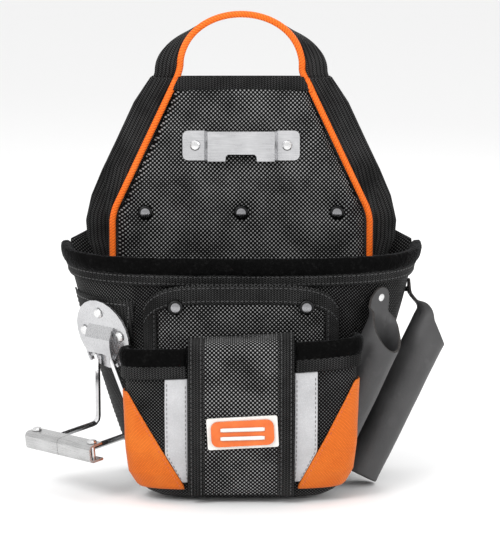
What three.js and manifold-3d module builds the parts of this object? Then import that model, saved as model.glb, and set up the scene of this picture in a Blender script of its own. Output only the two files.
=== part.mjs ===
// Electrician's belt tool pouch: a tall padded back with a grab handle and a steel tape clip, a large main pocket,
// a flat middle pocket and a boxed front pocket stacked in front of it, a swinging hammer loop on the left corner
// and two leather screwdriver tubes on the right. Millimetres, +Z up, front towards -Y.
import * as THREE from "three";
import { mergeVertices } from "three/addons/utils/BufferGeometryUtils.js";
import Module from "manifold-3d";

const wasm = await Module();
wasm.setup();

// ---- Driving dimensions -------------------------------------------------------------------------------------
const GAP = 0.3; // clearance between touching pieces
const BACK_Y = 40; // plane where the main pocket's wall meets the back
const RIM_Z = 158; // top of the main pocket's wall
const BACK_TOP_Z = 288.5; // top edge of the padded back
const BASE_HALF_W = 73; // main pocket, half width at the floor
const BASE_DEPTH = 64;
const RIM_GROWTH_W = 50; // how much wider (each side) and deeper the main pocket is at its rim
const RIM_GROWTH_D = 18;
const WALL = 2.2; // lined fabric wall
const BINDING = 1.3; // folded herringbone webbing over an edge
const FLEECE_H = 11; // rolled fleece edge on the main pocket
const FRONT_RIM_Z = 103; // top of the front pocket's wall at its middle
const FRONT_FLEECE_H = 12;
const FRONT_SLOPE = 0.055; // the front pocket is sewn on slightly askew: rise per millimetre to the right
const FRONT_POWER = 3; // superellipse power of the front pocket's outline from above
const STRAP_HALF_W = 36;
const PIPING_R = 2.2;
const HANDLE_HALF_W = 44;
const HANDLE_H = 42;
const HANDLE_FOLD_Z = 291;
const RIVET_ROW_Z = 191;
const CLIP_Z = 240;
const WIRE_R = 2.1;
const TUBE_R = 14.5;
const TUBE_WALL = 2.3;

// ---- Materials ----------------------------------------------------------------------------------------------
const finish = (color, roughness, metalness = 0) => new THREE.MeshStandardMaterial({ color, roughness, metalness });
const ballistic = finish(0x1c1c1d, 0.8);
const webbing = finish(0x202021, 0.85);
const fleece = finish(0x08080a, 1);
const orangeFabric = finish(0xf06a1a, 0.75);
const orangeCord = finish(0xf5641a, 0.6);
const reflective = finish(0xc9c9cb, 0.45);
const steel = finish(0xc8c9cb, 0.3, 1);
const gunmetal = finish(0x2b2b2d, 0.35, 0.8);
const leather = finish(0x2c2c2d, 0.6);
const rubber = finish(0x121212, 0.7);
const badge = finish(0xf3f1ee, 0.5);
const foam = finish(0x3a3a3c, 0.95);
const board = finish(0x4a4a4c, 0.6);

const pouch = new THREE.Group();
function add(name, geometry, material) {
  const mesh = new THREE.Mesh(geometry, material);
  mesh.name = name;
  pouch.add(mesh);
  return mesh;
}

// ---- Solid helpers ------------------------------------------------------------------------------------------
const v3 = (x, y, z) => new THREE.Vector3(x, y, z);
const lerp = THREE.MathUtils.lerp;
const clamp01 = (t) => THREE.MathUtils.clamp(t, 0, 1);
const smooth = (t) => clamp01(t) ** 2 * (3 - 2 * clamp01(t));

function toSolid(geometry) {
  const bare = (geometry.index ? geometry.toNonIndexed() : geometry.clone()).clone();
  bare.deleteAttribute("normal");
  bare.deleteAttribute("uv");
  const merged = mergeVertices(bare, 1e-3);
  return new wasm.Manifold(
    new wasm.Mesh({
      numProp: 3,
      vertProperties: new Float32Array(merged.attributes.position.array),
      triVerts: new Uint32Array(merged.index.array),
    }),
  );
}

function fromSolid(solid) {
  const m = solid.getMesh();
  const positions = new Float32Array(m.numVert * 3);
  for (let i = 0; i < m.numVert; i++)
    positions.set(m.vertProperties.subarray(i * m.numProp, i * m.numProp + 3), i * 3);
  return new THREE.BufferGeometry()
    .setAttribute("position", new THREE.BufferAttribute(positions, 3))
    .setIndex(new THREE.BufferAttribute(new Uint32Array(m.triVerts), 1));
}

const cut = (geometry, ...tools) =>
  fromSolid(tools.reduce((left, tool) => left.subtract(toSolid(tool)), toSolid(geometry)));
const join = (...pieces) => fromSolid(pieces.map(toSolid).reduce((a, b) => a.add(b)));
const keepInside = (geometry, tool) => fromSolid(toSolid(geometry).intersect(toSolid(tool)));

// The unit normal of surface(u, v), on the side that du x dv points to.
function normalOf(surface, u, v) {
  const e = 1e-3;
  const along = surface(Math.min(u + e, 1), v).sub(surface(Math.max(u - e, 0), v));
  const up = surface(u, Math.min(v + e, 1)).sub(surface(u, Math.max(v - e, 0)));
  return along.cross(up).normalize();
}

// A sheet laid on surface(u, v), from offset inner to offset outer along the surface's normal. u and v run 0 to 1;
// u left to right and v upwards puts the normal on the outside. A closed sheet joins u = 1 to u = 0.
function sheet(surface, uSteps, vSteps, inner, outer, closed = false) {
  const columns = closed ? uSteps : uSteps + 1;
  const rows = vSteps + 1;
  const positions = [];
  for (const offset of [inner, outer])
    for (let j = 0; j < rows; j++)
      for (let i = 0; i < columns; i++) {
        const [u, v] = [i / uSteps, j / vSteps];
        const p = surface(u, v).addScaledVector(normalOf(surface, u, v), offset);
        positions.push(p.x, p.y, p.z);
      }
  const at = (side, i, j) => side * rows * columns + j * columns + (i % columns);
  const index = [];
  const quad = (a, b, c, d) => index.push(a, b, c, a, c, d);
  for (let j = 0; j < vSteps; j++)
    for (let i = 0; i < uSteps; i++) {
      quad(at(1, i, j), at(1, i + 1, j), at(1, i + 1, j + 1), at(1, i, j + 1));
      quad(at(0, i, j), at(0, i, j + 1), at(0, i + 1, j + 1), at(0, i + 1, j));
    }
  for (let i = 0; i < uSteps; i++) {
    quad(at(0, i, 0), at(0, i + 1, 0), at(1, i + 1, 0), at(1, i, 0));
    quad(at(0, i, vSteps), at(1, i, vSteps), at(1, i + 1, vSteps), at(0, i + 1, vSteps));
  }
  if (!closed)
    for (let j = 0; j < vSteps; j++) {
      quad(at(0, 0, j), at(1, 0, j), at(1, 0, j + 1), at(0, 0, j + 1));
      quad(at(0, uSteps, j), at(0, uSteps, j + 1), at(1, uSteps, j + 1), at(1, uSteps, j));
    }
  return new THREE.BufferGeometry()
    .setAttribute("position", new THREE.BufferAttribute(new Float32Array(positions), 3))
    .setIndex(index);
}

// An outline drawn in X and Z, as a plate from yFront back to yBack.
function plate(points, yFront, yBack) {
  const shape = new THREE.Shape(points.map(([x, z]) => new THREE.Vector2(x, z)));
  return new THREE.ExtrudeGeometry(shape, { depth: yBack - yFront, bevelEnabled: false })
    .rotateX(Math.PI / 2)
    .translate(0, yBack, 0);
}

// halfWidth(z) mirrored about X = 0, as a closed outline from z0 to z1.
function mirroredOutline(halfWidth, z0, z1, steps) {
  const right = Array.from({ length: steps + 1 }, (_, i) => {
    const z = lerp(z0, z1, i / steps);
    return [halfWidth(z), z];
  });
  return [...right, ...right.map(([x, z]) => [-x, z]).reverse()];
}

function tubeAlong(curve, radius, steps, sides) {
  const ring = new THREE.Shape(
    Array.from({ length: sides }, (_, i) => {
      const a = (2 * Math.PI * i) / sides;
      return new THREE.Vector2(radius * Math.cos(a), radius * Math.sin(a));
    }),
  );
  return new THREE.ExtrudeGeometry(ring, { steps, extrudePath: curve, bevelEnabled: false });
}

const cylinder = (r, length, sides = 16) => new THREE.CylinderGeometry(r, r, length, sides);

// Moves geometry made around +Z so that its +Z points along direction and its origin sits at place.
function aim(geometry, place, direction) {
  const turn = new THREE.Quaternion().setFromUnitVectors(v3(0, 0, 1), direction.clone().normalize());
  return geometry.applyQuaternion(turn).translate(place.x, place.y, place.z);
}

// A rivet round +Z: a cap of radius r standing proud of z = 0, and a shank that runs back by depth to a burr.
function rivet(r, proud, depth) {
  const profile = [
    [0, -depth - 0.8],
    [r * 0.6, -depth - 0.8],
    [r * 0.6, -depth],
    [1.8, -depth],
    [1.8, 0],
    [r, 0],
    [r * 0.94, proud * 0.5],
    [r * 0.72, proud * 0.9],
    [0, proud],
  ].map(([x, y]) => new THREE.Vector2(x, y));
  return new THREE.LatheGeometry(profile, 10).rotateX(Math.PI / 2);
}
const shankHole = (length) => cylinder(2.2, length, 8).rotateX(Math.PI / 2);

// ---- Main pocket -------------------------------------------------------------------------------------------
const swell = (z) => (Math.max(z, 0) / 155) ** 0.75;
const mainHalfWidth = (z) => BASE_HALF_W + RIM_GROWTH_W * swell(z);
const mainDepth = (z) => BASE_DEPTH + RIM_GROWTH_D * swell(z);
const mainPower = (z) => 2 + 1.1 * swell(z); // superellipse power: round at the floor, squarer at the rim

// The main wall at polar angle phi (0 at the right back corner, a half turn at the left one) and height z,
// grown outwards by off.
function mainPoint(phi, z, off = 0) {
  const n = mainPower(z);
  const [c, s] = [Math.cos(phi), Math.max(Math.sin(phi), 0)];
  const r = (Math.abs(c / (mainHalfWidth(z) + off)) ** n + (s / (mainDepth(z) + off)) ** n) ** (-1 / n);
  return v3(r * c, BACK_Y - r * s, z);
}
const mainSurface = (z0, z1) => (u, v) => mainPoint(Math.PI * (1 - u), lerp(z0, z1, v));

// Y of the main wall at a given x and z.
function mainFrontY(x, z) {
  const n = mainPower(z);
  const share = Math.min(Math.abs(x) / mainHalfWidth(z), 1);
  return BACK_Y - mainDepth(z) * (1 - share ** n) ** (1 / n);
}

// A solid through closed convex rings, one per height in zs; ring(z) lists its points anticlockwise from above.
function loft(ring, zs) {
  const rings = zs.map(ring);
  const count = rings[0].length;
  const positions = rings.flat().flatMap((p) => [p.x, p.y, p.z]);
  const index = [];
  for (let j = 0; j < zs.length - 1; j++)
    for (let i = 0; i < count; i++) {
      const [a, b] = [j * count + i, j * count + ((i + 1) % count)];
      index.push(a, b, b + count, a, b + count, a + count);
    }
  const top = (zs.length - 1) * count;
  for (let i = 1; i < count - 1; i++) {
    index.push(0, i + 1, i);
    index.push(top, top + i, top + i + 1);
  }
  return new THREE.BufferGeometry()
    .setAttribute("position", new THREE.BufferAttribute(new Float32Array(positions), 3))
    .setIndex(index);
}
const range = (n, f) => Array.from({ length: n + 1 }, (_, i) => f(i / n));
const MAIN_ZS = [0, 3, 8, 16, 30, 50, 75, 110, RIM_Z];
const mainRing = (off, back) => (z) => {
  const arc = range(20, (t) => mainPoint(Math.PI * (1 - t), z, off));
  const behind = back ? [v3(arc.at(-1).x, BACK_Y + back, z), v3(arc[0].x, BACK_Y + back, z)] : [];
  return [...arc, ...behind];
};
const mainBlock = (off, back, zs) => loft(mainRing(off, back), zs);

add("main_fleece", sheet(mainSurface(RIM_Z + GAP, RIM_Z + FLEECE_H), 24, 2, -4, 3.2), fleece);
add("main_binding", sheet(mainSurface(RIM_Z - 8, RIM_Z), 24, 1, GAP + 0.5, GAP + 0.5 + BINDING), webbing);

// How far behind place, against outwards, the inside of the main wall lies.
function gripDepth(place, outwards) {
  const inside = (p) => {
    const n = mainPower(p.z);
    const [w, d] = [mainHalfWidth(p.z) - WALL, mainDepth(p.z) - WALL];
    return (Math.abs(p.x) / w) ** n + ((BACK_Y - p.y) / d) ** n < 1;
  };
  let depth = 0;
  while (!inside(place.clone().addScaledVector(outwards, -depth))) depth += 0.1;
  return depth;
}

// ---- Padded back --------------------------------------------------------------------------------------------
const FACE_Y = 28; // front of the back's face fabric
const FACE_TOP_HALF = 43.5;
const FACE_HALF = 90;
const FACE_SHOULDER_Z = 190;
const faceHalfWidth = (z) =>
  z > FACE_SHOULDER_Z
    ? lerp(FACE_HALF, FACE_TOP_HALF, (z - FACE_SHOULDER_Z) / (BACK_TOP_Z - FACE_SHOULDER_Z))
    : Math.min(FACE_HALF, mainHalfWidth(z) - 15);

// Outer edge of the webbing wings beside the face, from the top down, as [half width, z].
const wingCurve = new THREE.CatmullRomCurve3(
  [
    [64, 288],
    [76, 270],
    [89, 242],
    [99, 221],
    [107, 202],
    [111, 184],
    [110, 171],
    [104, 158],
    [97, 146],
  ].map(([x, z]) => v3(x, 0, z)),
);
const wingEdge = wingCurve.getPoints(28);
function wingHalfWidth(z) {
  const i = wingEdge.findIndex((p) => p.z <= z);
  if (i <= 0) return wingEdge[i === 0 ? 0 : wingEdge.length - 1].x;
  const [a, b] = [wingEdge[i - 1], wingEdge[i]];
  return lerp(b.x, a.x, (z - b.z) / (a.z - b.z));
}
// The rear panels fill the back of the main pocket and carry on up behind the wings.
function rearHalfWidth(z) {
  const above = smooth((z - (RIM_Z + FLEECE_H)) / 8);
  return lerp(mainHalfWidth(Math.min(z, RIM_Z)) - 0.5, Math.min(wingHalfWidth(z), 116), above);
}

const backRivetXs = [-69, 0, 69];
const clipRivetXs = [-33, 33];
// A round hole along Y at x, z, from yFront to yBack.
const holeAlongY = (x, z, yFront, yBack, r = 2.2) =>
  cylinder(r, yBack - yFront, 8).translate(x, (yFront + yBack) / 2, z);
const backRivetHoles = backRivetXs.map((x) => holeAlongY(x, RIVET_ROW_Z, 20, 60));
const clipRivetHoles = clipRivetXs.map((x) => holeAlongY(x, CLIP_Z, 20, 33.6));
const clipBurrRecess = clipRivetXs.map((x) => holeAlongY(x, CLIP_Z, 33, 35.6, 4));

const faceOutline = (margin, z0, z1, steps) => mirroredOutline((z) => faceHalfWidth(z) - margin, z0, z1, steps);
const rearOutline = (margin, z0, z1) => mirroredOutline((z) => rearHalfWidth(z) - margin, z0, z1, 26);
add(
  "back_face",
  cut(plate(faceOutline(0, 8, BACK_TOP_Z, 16), FACE_Y, 33), ...backRivetHoles, ...clipRivetHoles),
  ballistic,
);
add(
  "back_foam",
  cut(plate(faceOutline(10, 18, 280, 12), 33.3, 39.7), ...backRivetHoles, ...clipBurrRecess),
  foam,
);
add("back_rear_panel", cut(plate(rearOutline(0, 3, BACK_TOP_Z), 40.3, 42.3), ...backRivetHoles), ballistic);
add("back_stiffener", cut(plate(faceOutline(8, 16, 280, 12), 42.6, 44.4), ...backRivetHoles), board);
add("back_hip_panel", cut(plate(rearOutline(2, 3, BACK_TOP_Z), 44.7, 50.7), ...backRivetHoles), ballistic);
add("back_top_hem", plate(faceOutline(1, BACK_TOP_Z - 9, BACK_TOP_Z, 1), 26.4, 27.7), webbing);

for (const [side, sign] of [
  ["left", -1],
  ["right", 1],
]) {
  const outer = wingEdge.map((p) => [sign * p.x, p.z]);
  const inner = range(12, (t) => lerp(146, 288, t)).map((z) => [sign * (faceHalfWidth(z) - 8), z]);
  add(`wing_${side}`, plate([...outer, ...inner], 33.6, 39.6), webbing);
  const seam = [30, 60, 90, 120, 150, 183, 196, 225, 255, 286].map((z) => v3(sign * (faceHalfWidth(z) + 3.1), 30.8, z));
  add(`piping_${side}`, tubeAlong(new THREE.CatmullRomCurve3(seam), PIPING_R, 20, 6), orangeCord);
}

// A flat strap bent in side view: points [y, z] of its front face, thickened towards the back, from x0 to x1.
function strapAlongX(points, thickness, x0, x1) {
  const path = points.map(([y, z]) => new THREE.Vector2(y, z));
  const sides = path.map((p, i) => {
    const along = path[Math.min(i + 1, path.length - 1)].clone().sub(path[Math.max(i - 1, 0)]).normalize();
    return new THREE.Vector2(along.y, -along.x).multiplyScalar(thickness).add(p);
  });
  const shape = new THREE.Shape([...path, ...sides.reverse()]);
  return new THREE.ExtrudeGeometry(shape, { depth: x1 - x0, bevelEnabled: false })
    .applyMatrix4(new THREE.Matrix4().makeBasis(v3(0, 1, 0), v3(0, 0, 1), v3(1, 0, 0)))
    .translate(x0, 0, 0);
}
const beltLoopProfile = [
  [51, 276],
  [51, 266],
  [58.5, 257],
  [58.5, 207],
  [51, 198],
  [51, 180],
];
add("belt_loop", cut(strapAlongX(beltLoopProfile.reverse(), 2.2, -70, 70), ...backRivetHoles), webbing);
for (const [i, x] of backRivetXs.entries())
  add(`back_rivet_${i + 1}`, aim(rivet(4.9, 1.8, 25.6), v3(x, FACE_Y - GAP, RIVET_ROW_Z), v3(0, -1, 0)), gunmetal);

// ---- Grab handle --------------------------------------------------------------------------------------------
const HANDLE_Y = 37;
const archPoint = (t) => {
  const a = Math.PI * (1 - t);
  return v3(HANDLE_HALF_W * Math.cos(a), HANDLE_Y, HANDLE_FOLD_Z + 0.6 + HANDLE_H * Math.sin(a) ** 0.85);
};
// The webbing lies flat in the plane of the back at its ends and turns to face upwards at the top of the arch.
function handleSurface(u, v) {
  const a = Math.PI * (1 - u);
  const turned = smooth(Math.sin(a) * 1.15);
  const across = v3(Math.cos(a), 0, Math.sin(a) * 0.8).normalize();
  const width = across.clone().multiplyScalar(12.5 * (1 - turned)).add(v3(0, 21 * turned, -3.5 * turned));
  const start = archPoint(u).addScaledVector(across, 4.2 * (1 - turned)).add(v3(0, 2.3 * turned, 0));
  const p = start.add(width.multiplyScalar(1 - v));
  p.z = Math.max(p.z, HANDLE_FOLD_Z);
  return p;
}
add("handle_webbing", sheet(handleSurface, 22, 2, -1.2, 1.2), webbing);
class Arch extends THREE.Curve {
  getPoint(t) {
    return archPoint(t).add(v3(0, -1.5 * Math.sin(Math.PI * t), 0));
  }
}
add("handle_cord", tubeAlong(new Arch(), PIPING_R, 22, 6), orangeCord);

// ---- Tape clip ----------------------------------------------------------------------------------------------
const CLIP_H = 21.5;
const clipHalf = [
  [42, 27.7],
  [25.5, 27.7],
  [23, 22],
];
const clipFront = [
  [24, 20.5],
  [26.5, 26.2],
  [42, 26.2],
];
const clipProfile = [
  ...clipHalf,
  ...clipHalf.map(([x, y]) => [-x, y]).reverse(),
  ...clipFront.map(([x, y]) => [-x, y]).reverse(),
  ...clipFront,
];
const roundedRectangle = (w, h, r, steps = 4) =>
  [
    [1, 1, 0],
    [-1, 1, 1],
    [-1, -1, 2],
    [1, -1, 3],
  ].flatMap(([sx, sz, quarter]) =>
    range(steps, (t) => {
      const a = (quarter + t) * (Math.PI / 2);
      return [sx * (w / 2 - r) + r * Math.cos(a), sz * (h / 2 - r) + r * Math.sin(a)];
    }),
  );
const clipStrip = new THREE.ExtrudeGeometry(
  new THREE.Shape(clipProfile.map(([x, y]) => new THREE.Vector2(x, y))),
  { depth: CLIP_H, bevelEnabled: false },
).translate(0, 0, CLIP_Z - CLIP_H / 2);
const clipNotch = plate(
  [
    [-11, CLIP_Z - CLIP_H / 2 + 3.6],
    [-9.5, CLIP_Z - CLIP_H / 2 + 5],
    [9.5, CLIP_Z - CLIP_H / 2 + 5],
    [11, CLIP_Z - CLIP_H / 2 + 3.6],
    [11.5, CLIP_Z - CLIP_H / 2 - 2],
    [-11.5, CLIP_Z - CLIP_H / 2 - 2],
  ].reverse(),
  15,
  25,
);
const clipCorners = plate(roundedRectangle(84, CLIP_H, 4).map(([x, z]) => [x, z + CLIP_Z]), 15, 30);
add("tape_clip", cut(keepInside(clipStrip, clipCorners), clipNotch, ...clipRivetHoles), steel);
for (const [i, x] of clipRivetXs.entries())
  add(`clip_rivet_${i + 1}`, aim(rivet(3.9, 2.2, 7.4), v3(x, 25.9, CLIP_Z), v3(0, -1, 0)), steel);

// ---- Middle pocket ------------------------------------------------------------------------------------------
const MID_HALF_W = 69;
const MID_BOTTOM_Z = 30;
const MID_TOP_Z = 153;
const MID_FULLNESS = 9.5; // how far the panel stands off the wall at its middle
const midTop = (x) => MID_TOP_Z - 35 + 35 * (1 - Math.abs(x / 70.5) ** 4) ** (1 / 3);
// The panel stands off the main wall in the middle and comes down to it at its sides and bottom.
function midPoint(x, z, off = 0) {
  const bulge = MID_FULLNESS * (1 - Math.abs(x / MID_HALF_W) ** 4) * smooth((z - MID_BOTTOM_Z) / 50);
  return v3(x, mainFrontY(x, z) - GAP - 0.4 - bulge - off, z);
}
const midSurface = (x0, x1, bottom, top) => (u, v) => {
  const x = lerp(x0, x1, u);
  return midPoint(x, lerp(bottom(x), top(x), v));
};
const midWhole = midSurface(-MID_HALF_W, MID_HALF_W, () => MID_BOTTOM_Z, midTop);
const midRivetXs = [-46, 46];
const MID_RIVET_Z = 137;
const midRivetHoles = midRivetXs.map((x) => holeAlongY(x, MID_RIVET_Z, -60, -20));
add("middle_pocket", cut(sheet(midWhole, 16, 6, 0, 1.8), ...midRivetHoles), ballistic);
const archBand = midSurface(-MID_HALF_W, MID_HALF_W, (x) => midTop(x) - 13.5, midTop);
const sideBand = (sign) =>
  midSurface(
    Math.min(sign * 59, sign * MID_HALF_W),
    Math.max(sign * 59, sign * MID_HALF_W),
    () => 76,
    (x) => midTop(x) - 10,
  );
const bandOver = (surface, u, v) => sheet(surface, u, v, 1.8 + GAP, 1.8 + GAP + BINDING);
add(
  "middle_binding",
  cut(join(bandOver(archBand, 16, 1), bandOver(sideBand(-1), 2, 4), bandOver(sideBand(1), 2, 4)), ...midRivetHoles),
  webbing,
);
for (const [i, x] of midRivetXs.entries()) {
  const place = v3(x, midPoint(x, MID_RIVET_Z).y - 1.8 - GAP - BINDING - 1.7, MID_RIVET_Z);
  const depth = gripDepth(place, v3(0, -1, 0)) + 1;
  add(`middle_rivet_${i + 1}`, aim(rivet(4.7, 2, depth), place, v3(0, -1, 0)), gunmetal);
}

// ---- Front pocket -------------------------------------------------------------------------------------------
// Straight-line interpolation through [z, value] pairs.
function along(z, pairs) {
  const i = pairs.findIndex(([at]) => at >= z);
  if (i <= 0) return pairs[i === 0 ? 0 : pairs.length - 1][1];
  const [[z0, a], [z1, b]] = [pairs[i - 1], pairs[i]];
  return lerp(a, b, (z - z0) / (z1 - z0));
}
const frontProfiles = {
  halfWidth: [[2, 58], [6, 66], [12, 72], [22, 77], [40, 79], [70, 80], [125, 82]],
  front: [[2, -60], [6, -65], [12, -69], [22, -73], [40, -77], [70, -80.5], [125, -83]],
  centre: [[2, -42], [6, -44], [12, -47], [22, -53], [40, -62], [70, -63], [125, -64]],
  back: [[2, -20], [6, -21], [12, -23], [22, -30], [40, -49], [70, -51], [125, -53]],
};
function frontPoint(theta, z, off = 0) {
  const [c, s] = [Math.cos(theta), Math.sin(theta)];
  const centre = along(z, frontProfiles.centre);
  const reach = s >= 0 ? centre - along(z, frontProfiles.front) + off : along(z, frontProfiles.back) - centre + off;
  const power = 2 / FRONT_POWER;
  const x = (along(z, frontProfiles.halfWidth) + off) * Math.sign(c) * Math.abs(c) ** power;
  return v3(x, centre - reach * Math.sign(s) * Math.abs(s) ** power, z + FRONT_SLOPE * x * clamp01(z / 90));
}
// Where the front wall passes a given x.
const frontTheta = (x, z) =>
  Math.acos(Math.sign(x) * Math.min(Math.abs(x) / along(z, frontProfiles.halfWidth), 1) ** (FRONT_POWER / 2));
const FRONT_ZS = [2, 6, 12, 22, 40, 70, FRONT_RIM_Z];
const frontRing = (off) => (z) =>
  Array.from({ length: 36 }, (_, i) => frontPoint(-2 * Math.PI * ((i + 0.5) / 36), z, off));
const midBlock = sheet(midWhole, 16, 6, -12, 1.8 + GAP);
const midBandBlock = join(
  ...[-1, 1].map((sign) => sheet(sideBand(sign), 2, 4, 0, 1.8 + 2 * GAP + BINDING)),
);
add(
  "front_pocket",
  cut(
    loft(frontRing(0), FRONT_ZS),
    loft(frontRing(-2), [4, 7, 12, 22, 40, 70, FRONT_RIM_Z + 20]),
    mainBlock(GAP, 0, [-5, ...MAIN_ZS]),
    midBlock,
    midBandBlock,
  ),
  ballistic,
);
const frontArc = (thetaLeft, thetaRight, z0, z1) => (u, v) => {
  const z = lerp(z0, z1, v);
  return frontPoint(lerp(thetaLeft(z), thetaRight(z), u), z);
};
const BEHIND = 0.3; // how far the trim wraps round behind the pocket's sides, radians
const orangeInner = (z) => Math.max(39, 41.5 + (z - 17) * 0.535);
for (const [side, sign] of [
  ["left", -1],
  ["right", 1],
]) {
  const around = () => (sign < 0 ? Math.PI + BEHIND : -BEHIND);
  const towards = (x) => (z) => frontTheta(sign * (typeof x === "function" ? x(z) : x), z);
  const span = (x, z0, z1) =>
    sign < 0 ? frontArc(around, towards(x), z0, z1) : frontArc(towards(x), around, z0, z1);
  add(
    `front_fleece_${side}`,
    sheet(span(STRAP_HALF_W + 2, FRONT_RIM_Z + GAP, FRONT_RIM_Z + FRONT_FLEECE_H), 12, 2, -4.5, 3),
    fleece,
  );
  add(`front_binding_${side}`, sheet(span(STRAP_HALF_W + 2, FRONT_RIM_Z - 8, FRONT_RIM_Z), 12, 1, GAP, GAP + BINDING), webbing);
  add(`corner_panel_${side}`, sheet(span(orangeInner, 10, 85), 8, 8, GAP + 1.2, GAP + 2.2), orangeFabric);
  const tape = (u, v) => {
    const z = lerp(16, FRONT_RIM_Z - 9, v);
    const outer = Math.min(52, orangeInner(z) - 0.8);
    const x = sign < 0 ? lerp(-outer, -36.9, u) : lerp(36.9, outer, u);
    return frontPoint(frontTheta(x, z), z);
  };
  add(`reflective_tape_${side}`, sheet(tape, 2, 5, GAP + 0.7, GAP + 1.3), reflective);
}

// The centre strap runs up the front of the pocket and over its rim to the middle pocket.
const askew = (geometry) => {
  const p = geometry.attributes.position;
  for (let i = 0; i < p.count; i++)
    p.setZ(i, p.getZ(i) + FRONT_SLOPE * p.getX(i) * clamp01(p.getZ(i) / 90));
  return geometry;
};
const strapFront = (z) => along(z, frontProfiles.front) - 2.2 - GAP - clamp01((22 - z) / 14);
const strapRise = [6, 12, 22, 40, 70, 100, 110].map((z) => [strapFront(z), z]);
const strapPath = [...strapRise, [-81, 115.5], [-76, 117.6], [-68, 118.2], [-59, 117.8], [-51.6, 116.8]];
add("centre_strap", askew(strapAlongX(strapPath, 2.2, -STRAP_HALF_W, STRAP_HALF_W)), ballistic);
const trimPath = strapRise.map(([y, z]) => [y - GAP - BINDING, z]);
add("strap_binding_left", askew(strapAlongX(trimPath, BINDING, -STRAP_HALF_W, 9.5 - STRAP_HALF_W)), webbing);
add("strap_binding_right", askew(strapAlongX(trimPath, BINDING, STRAP_HALF_W - 9.5, STRAP_HALF_W)), webbing);
const LABEL_Z = 54;
const labelTilt = Math.atan2(strapFront(43) - strapFront(66), 23);
const labelPart = (w, h, r, y0, y1) =>
  plate(roundedRectangle(w, h, r), y0, y1)
    .rotateY(-FRONT_SLOPE)
    .rotateX(labelTilt)
    .translate(1, strapFront(LABEL_Z) - 0.6, LABEL_Z);
add("label_patch", labelPart(49.5, 23, 1.5, -1, 0), ballistic);
add("label_badge", labelPart(44, 18.5, 5, -2.5, -1.3), badge);

// ---- Screwdriver tubes --------------------------------------------------------------------------------------
// Leather rolled into an open tube from bottom to top, its mouth cut aslant; the wall side carries on up as a
// tongue that a rivet holds. bend turns the tongue towards the wall.
const TONGUE_RIVET = 13; // rivet's height above the tongue's bend
function leatherTube(bottom, top, towardsWall, bend) {
  const z = top.clone().sub(bottom);
  const length = z.length();
  z.normalize();
  const y = towardsWall.clone().addScaledVector(z, -towardsWall.dot(z)).normalize();
  const frame = new THREE.Matrix4().makeBasis(y.clone().cross(z), y, z).setPosition(bottom);
  const MOUTH = 40;
  const shell = cut(
    cylinder(TUBE_R, length + 14, 20).rotateX(Math.PI / 2).translate(0, 0, (length + 14) / 2),
    cylinder(TUBE_R - TUBE_WALL, length + 60, 20).rotateX(Math.PI / 2).translate(0, 0, length / 2),
    new THREE.BoxGeometry(80, 80, 60)
      .translate(0, 0, 30)
      .rotateX(THREE.MathUtils.degToRad(MOUTH))
      .translate(0, 0, length),
  );
  const tongueOutline = [
    [-10.5, -6],
    [10.5, -6],
    [10, 8],
    ...range(8, (t) => [8.5 * Math.cos(Math.PI * t), 13 + 7.5 * Math.sin(Math.PI * t)]),
    [-10, 8],
  ];
  const local = (geometry) =>
    geometry.rotateX(-bend).translate(0, TUBE_R - TUBE_WALL / 2, length + 4).applyMatrix4(frame);
  const tongue = cut(plate(tongueOutline, -TUBE_WALL / 2, TUBE_WALL / 2), holeAlongY(0, TONGUE_RIVET, -5, 5));
  const spot = v3(0, 0, TONGUE_RIVET).applyAxisAngle(v3(1, 0, 0), -bend).add(v3(0, TUBE_R - TUBE_WALL / 2, length + 4));
  const outwards = v3(0, -1, 0).applyAxisAngle(v3(1, 0, 0), -bend).transformDirection(frame);
  return {
    geometry: join(shell.applyMatrix4(frame), local(tongue)),
    rivetPlace: spot.applyMatrix4(frame).addScaledVector(outwards, TUBE_WALL / 2 + GAP),
    outwards,
  };
}
const tubes = {
  front: leatherTube(v3(69.5, -38, 46), v3(102.5, -37.5, 119), v3(-0.72, 0.69, 0), THREE.MathUtils.degToRad(10)),
  rear: leatherTube(v3(84, -8, 7), v3(138, 13, 115), v3(-1, 0, 0), THREE.MathUtils.degToRad(29)),
};
for (const [name, tube] of Object.entries(tubes)) {
  add(`tube_${name}`, tube.geometry, leather);
  const depth = gripDepth(tube.rivetPlace, tube.outwards) + 1.8;
  add(`tube_rivet_${name}`, aim(rivet(4.2, 2, depth), tube.rivetPlace, tube.outwards), steel);
}
const tubeRivetHoles = Object.values(tubes).map((tube) =>
  aim(shankHole(40), tube.rivetPlace, tube.outwards),
);

// ---- Hammer loop --------------------------------------------------------------------------------------------
const HAMMER_PHI = THREE.MathUtils.degToRad(150);
const HAMMER_Z = 112;
const hammerPatch = (u, v) => mainPoint(lerp(2.98, lerp(2.46, 2.36, v), u), lerp(88, 138, v));
// Local frame on the wall: x along it, y up it, z away from it.
const wallNormal = normalOf((u, v) => mainPoint(HAMMER_PHI - (u - 0.5) * 0.2, HAMMER_Z + (v - 0.5) * 20), 0.5, 0.5);
const alongWall = v3(0, 0, 1).cross(wallNormal).normalize();
const hammerFrame = new THREE.Matrix4()
  .makeBasis(alongWall, wallNormal.clone().cross(alongWall), wallNormal)
  .setPosition(mainPoint(HAMMER_PHI, HAMMER_Z));
const onWall = (geometry) => geometry.applyMatrix4(hammerFrame);

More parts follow.
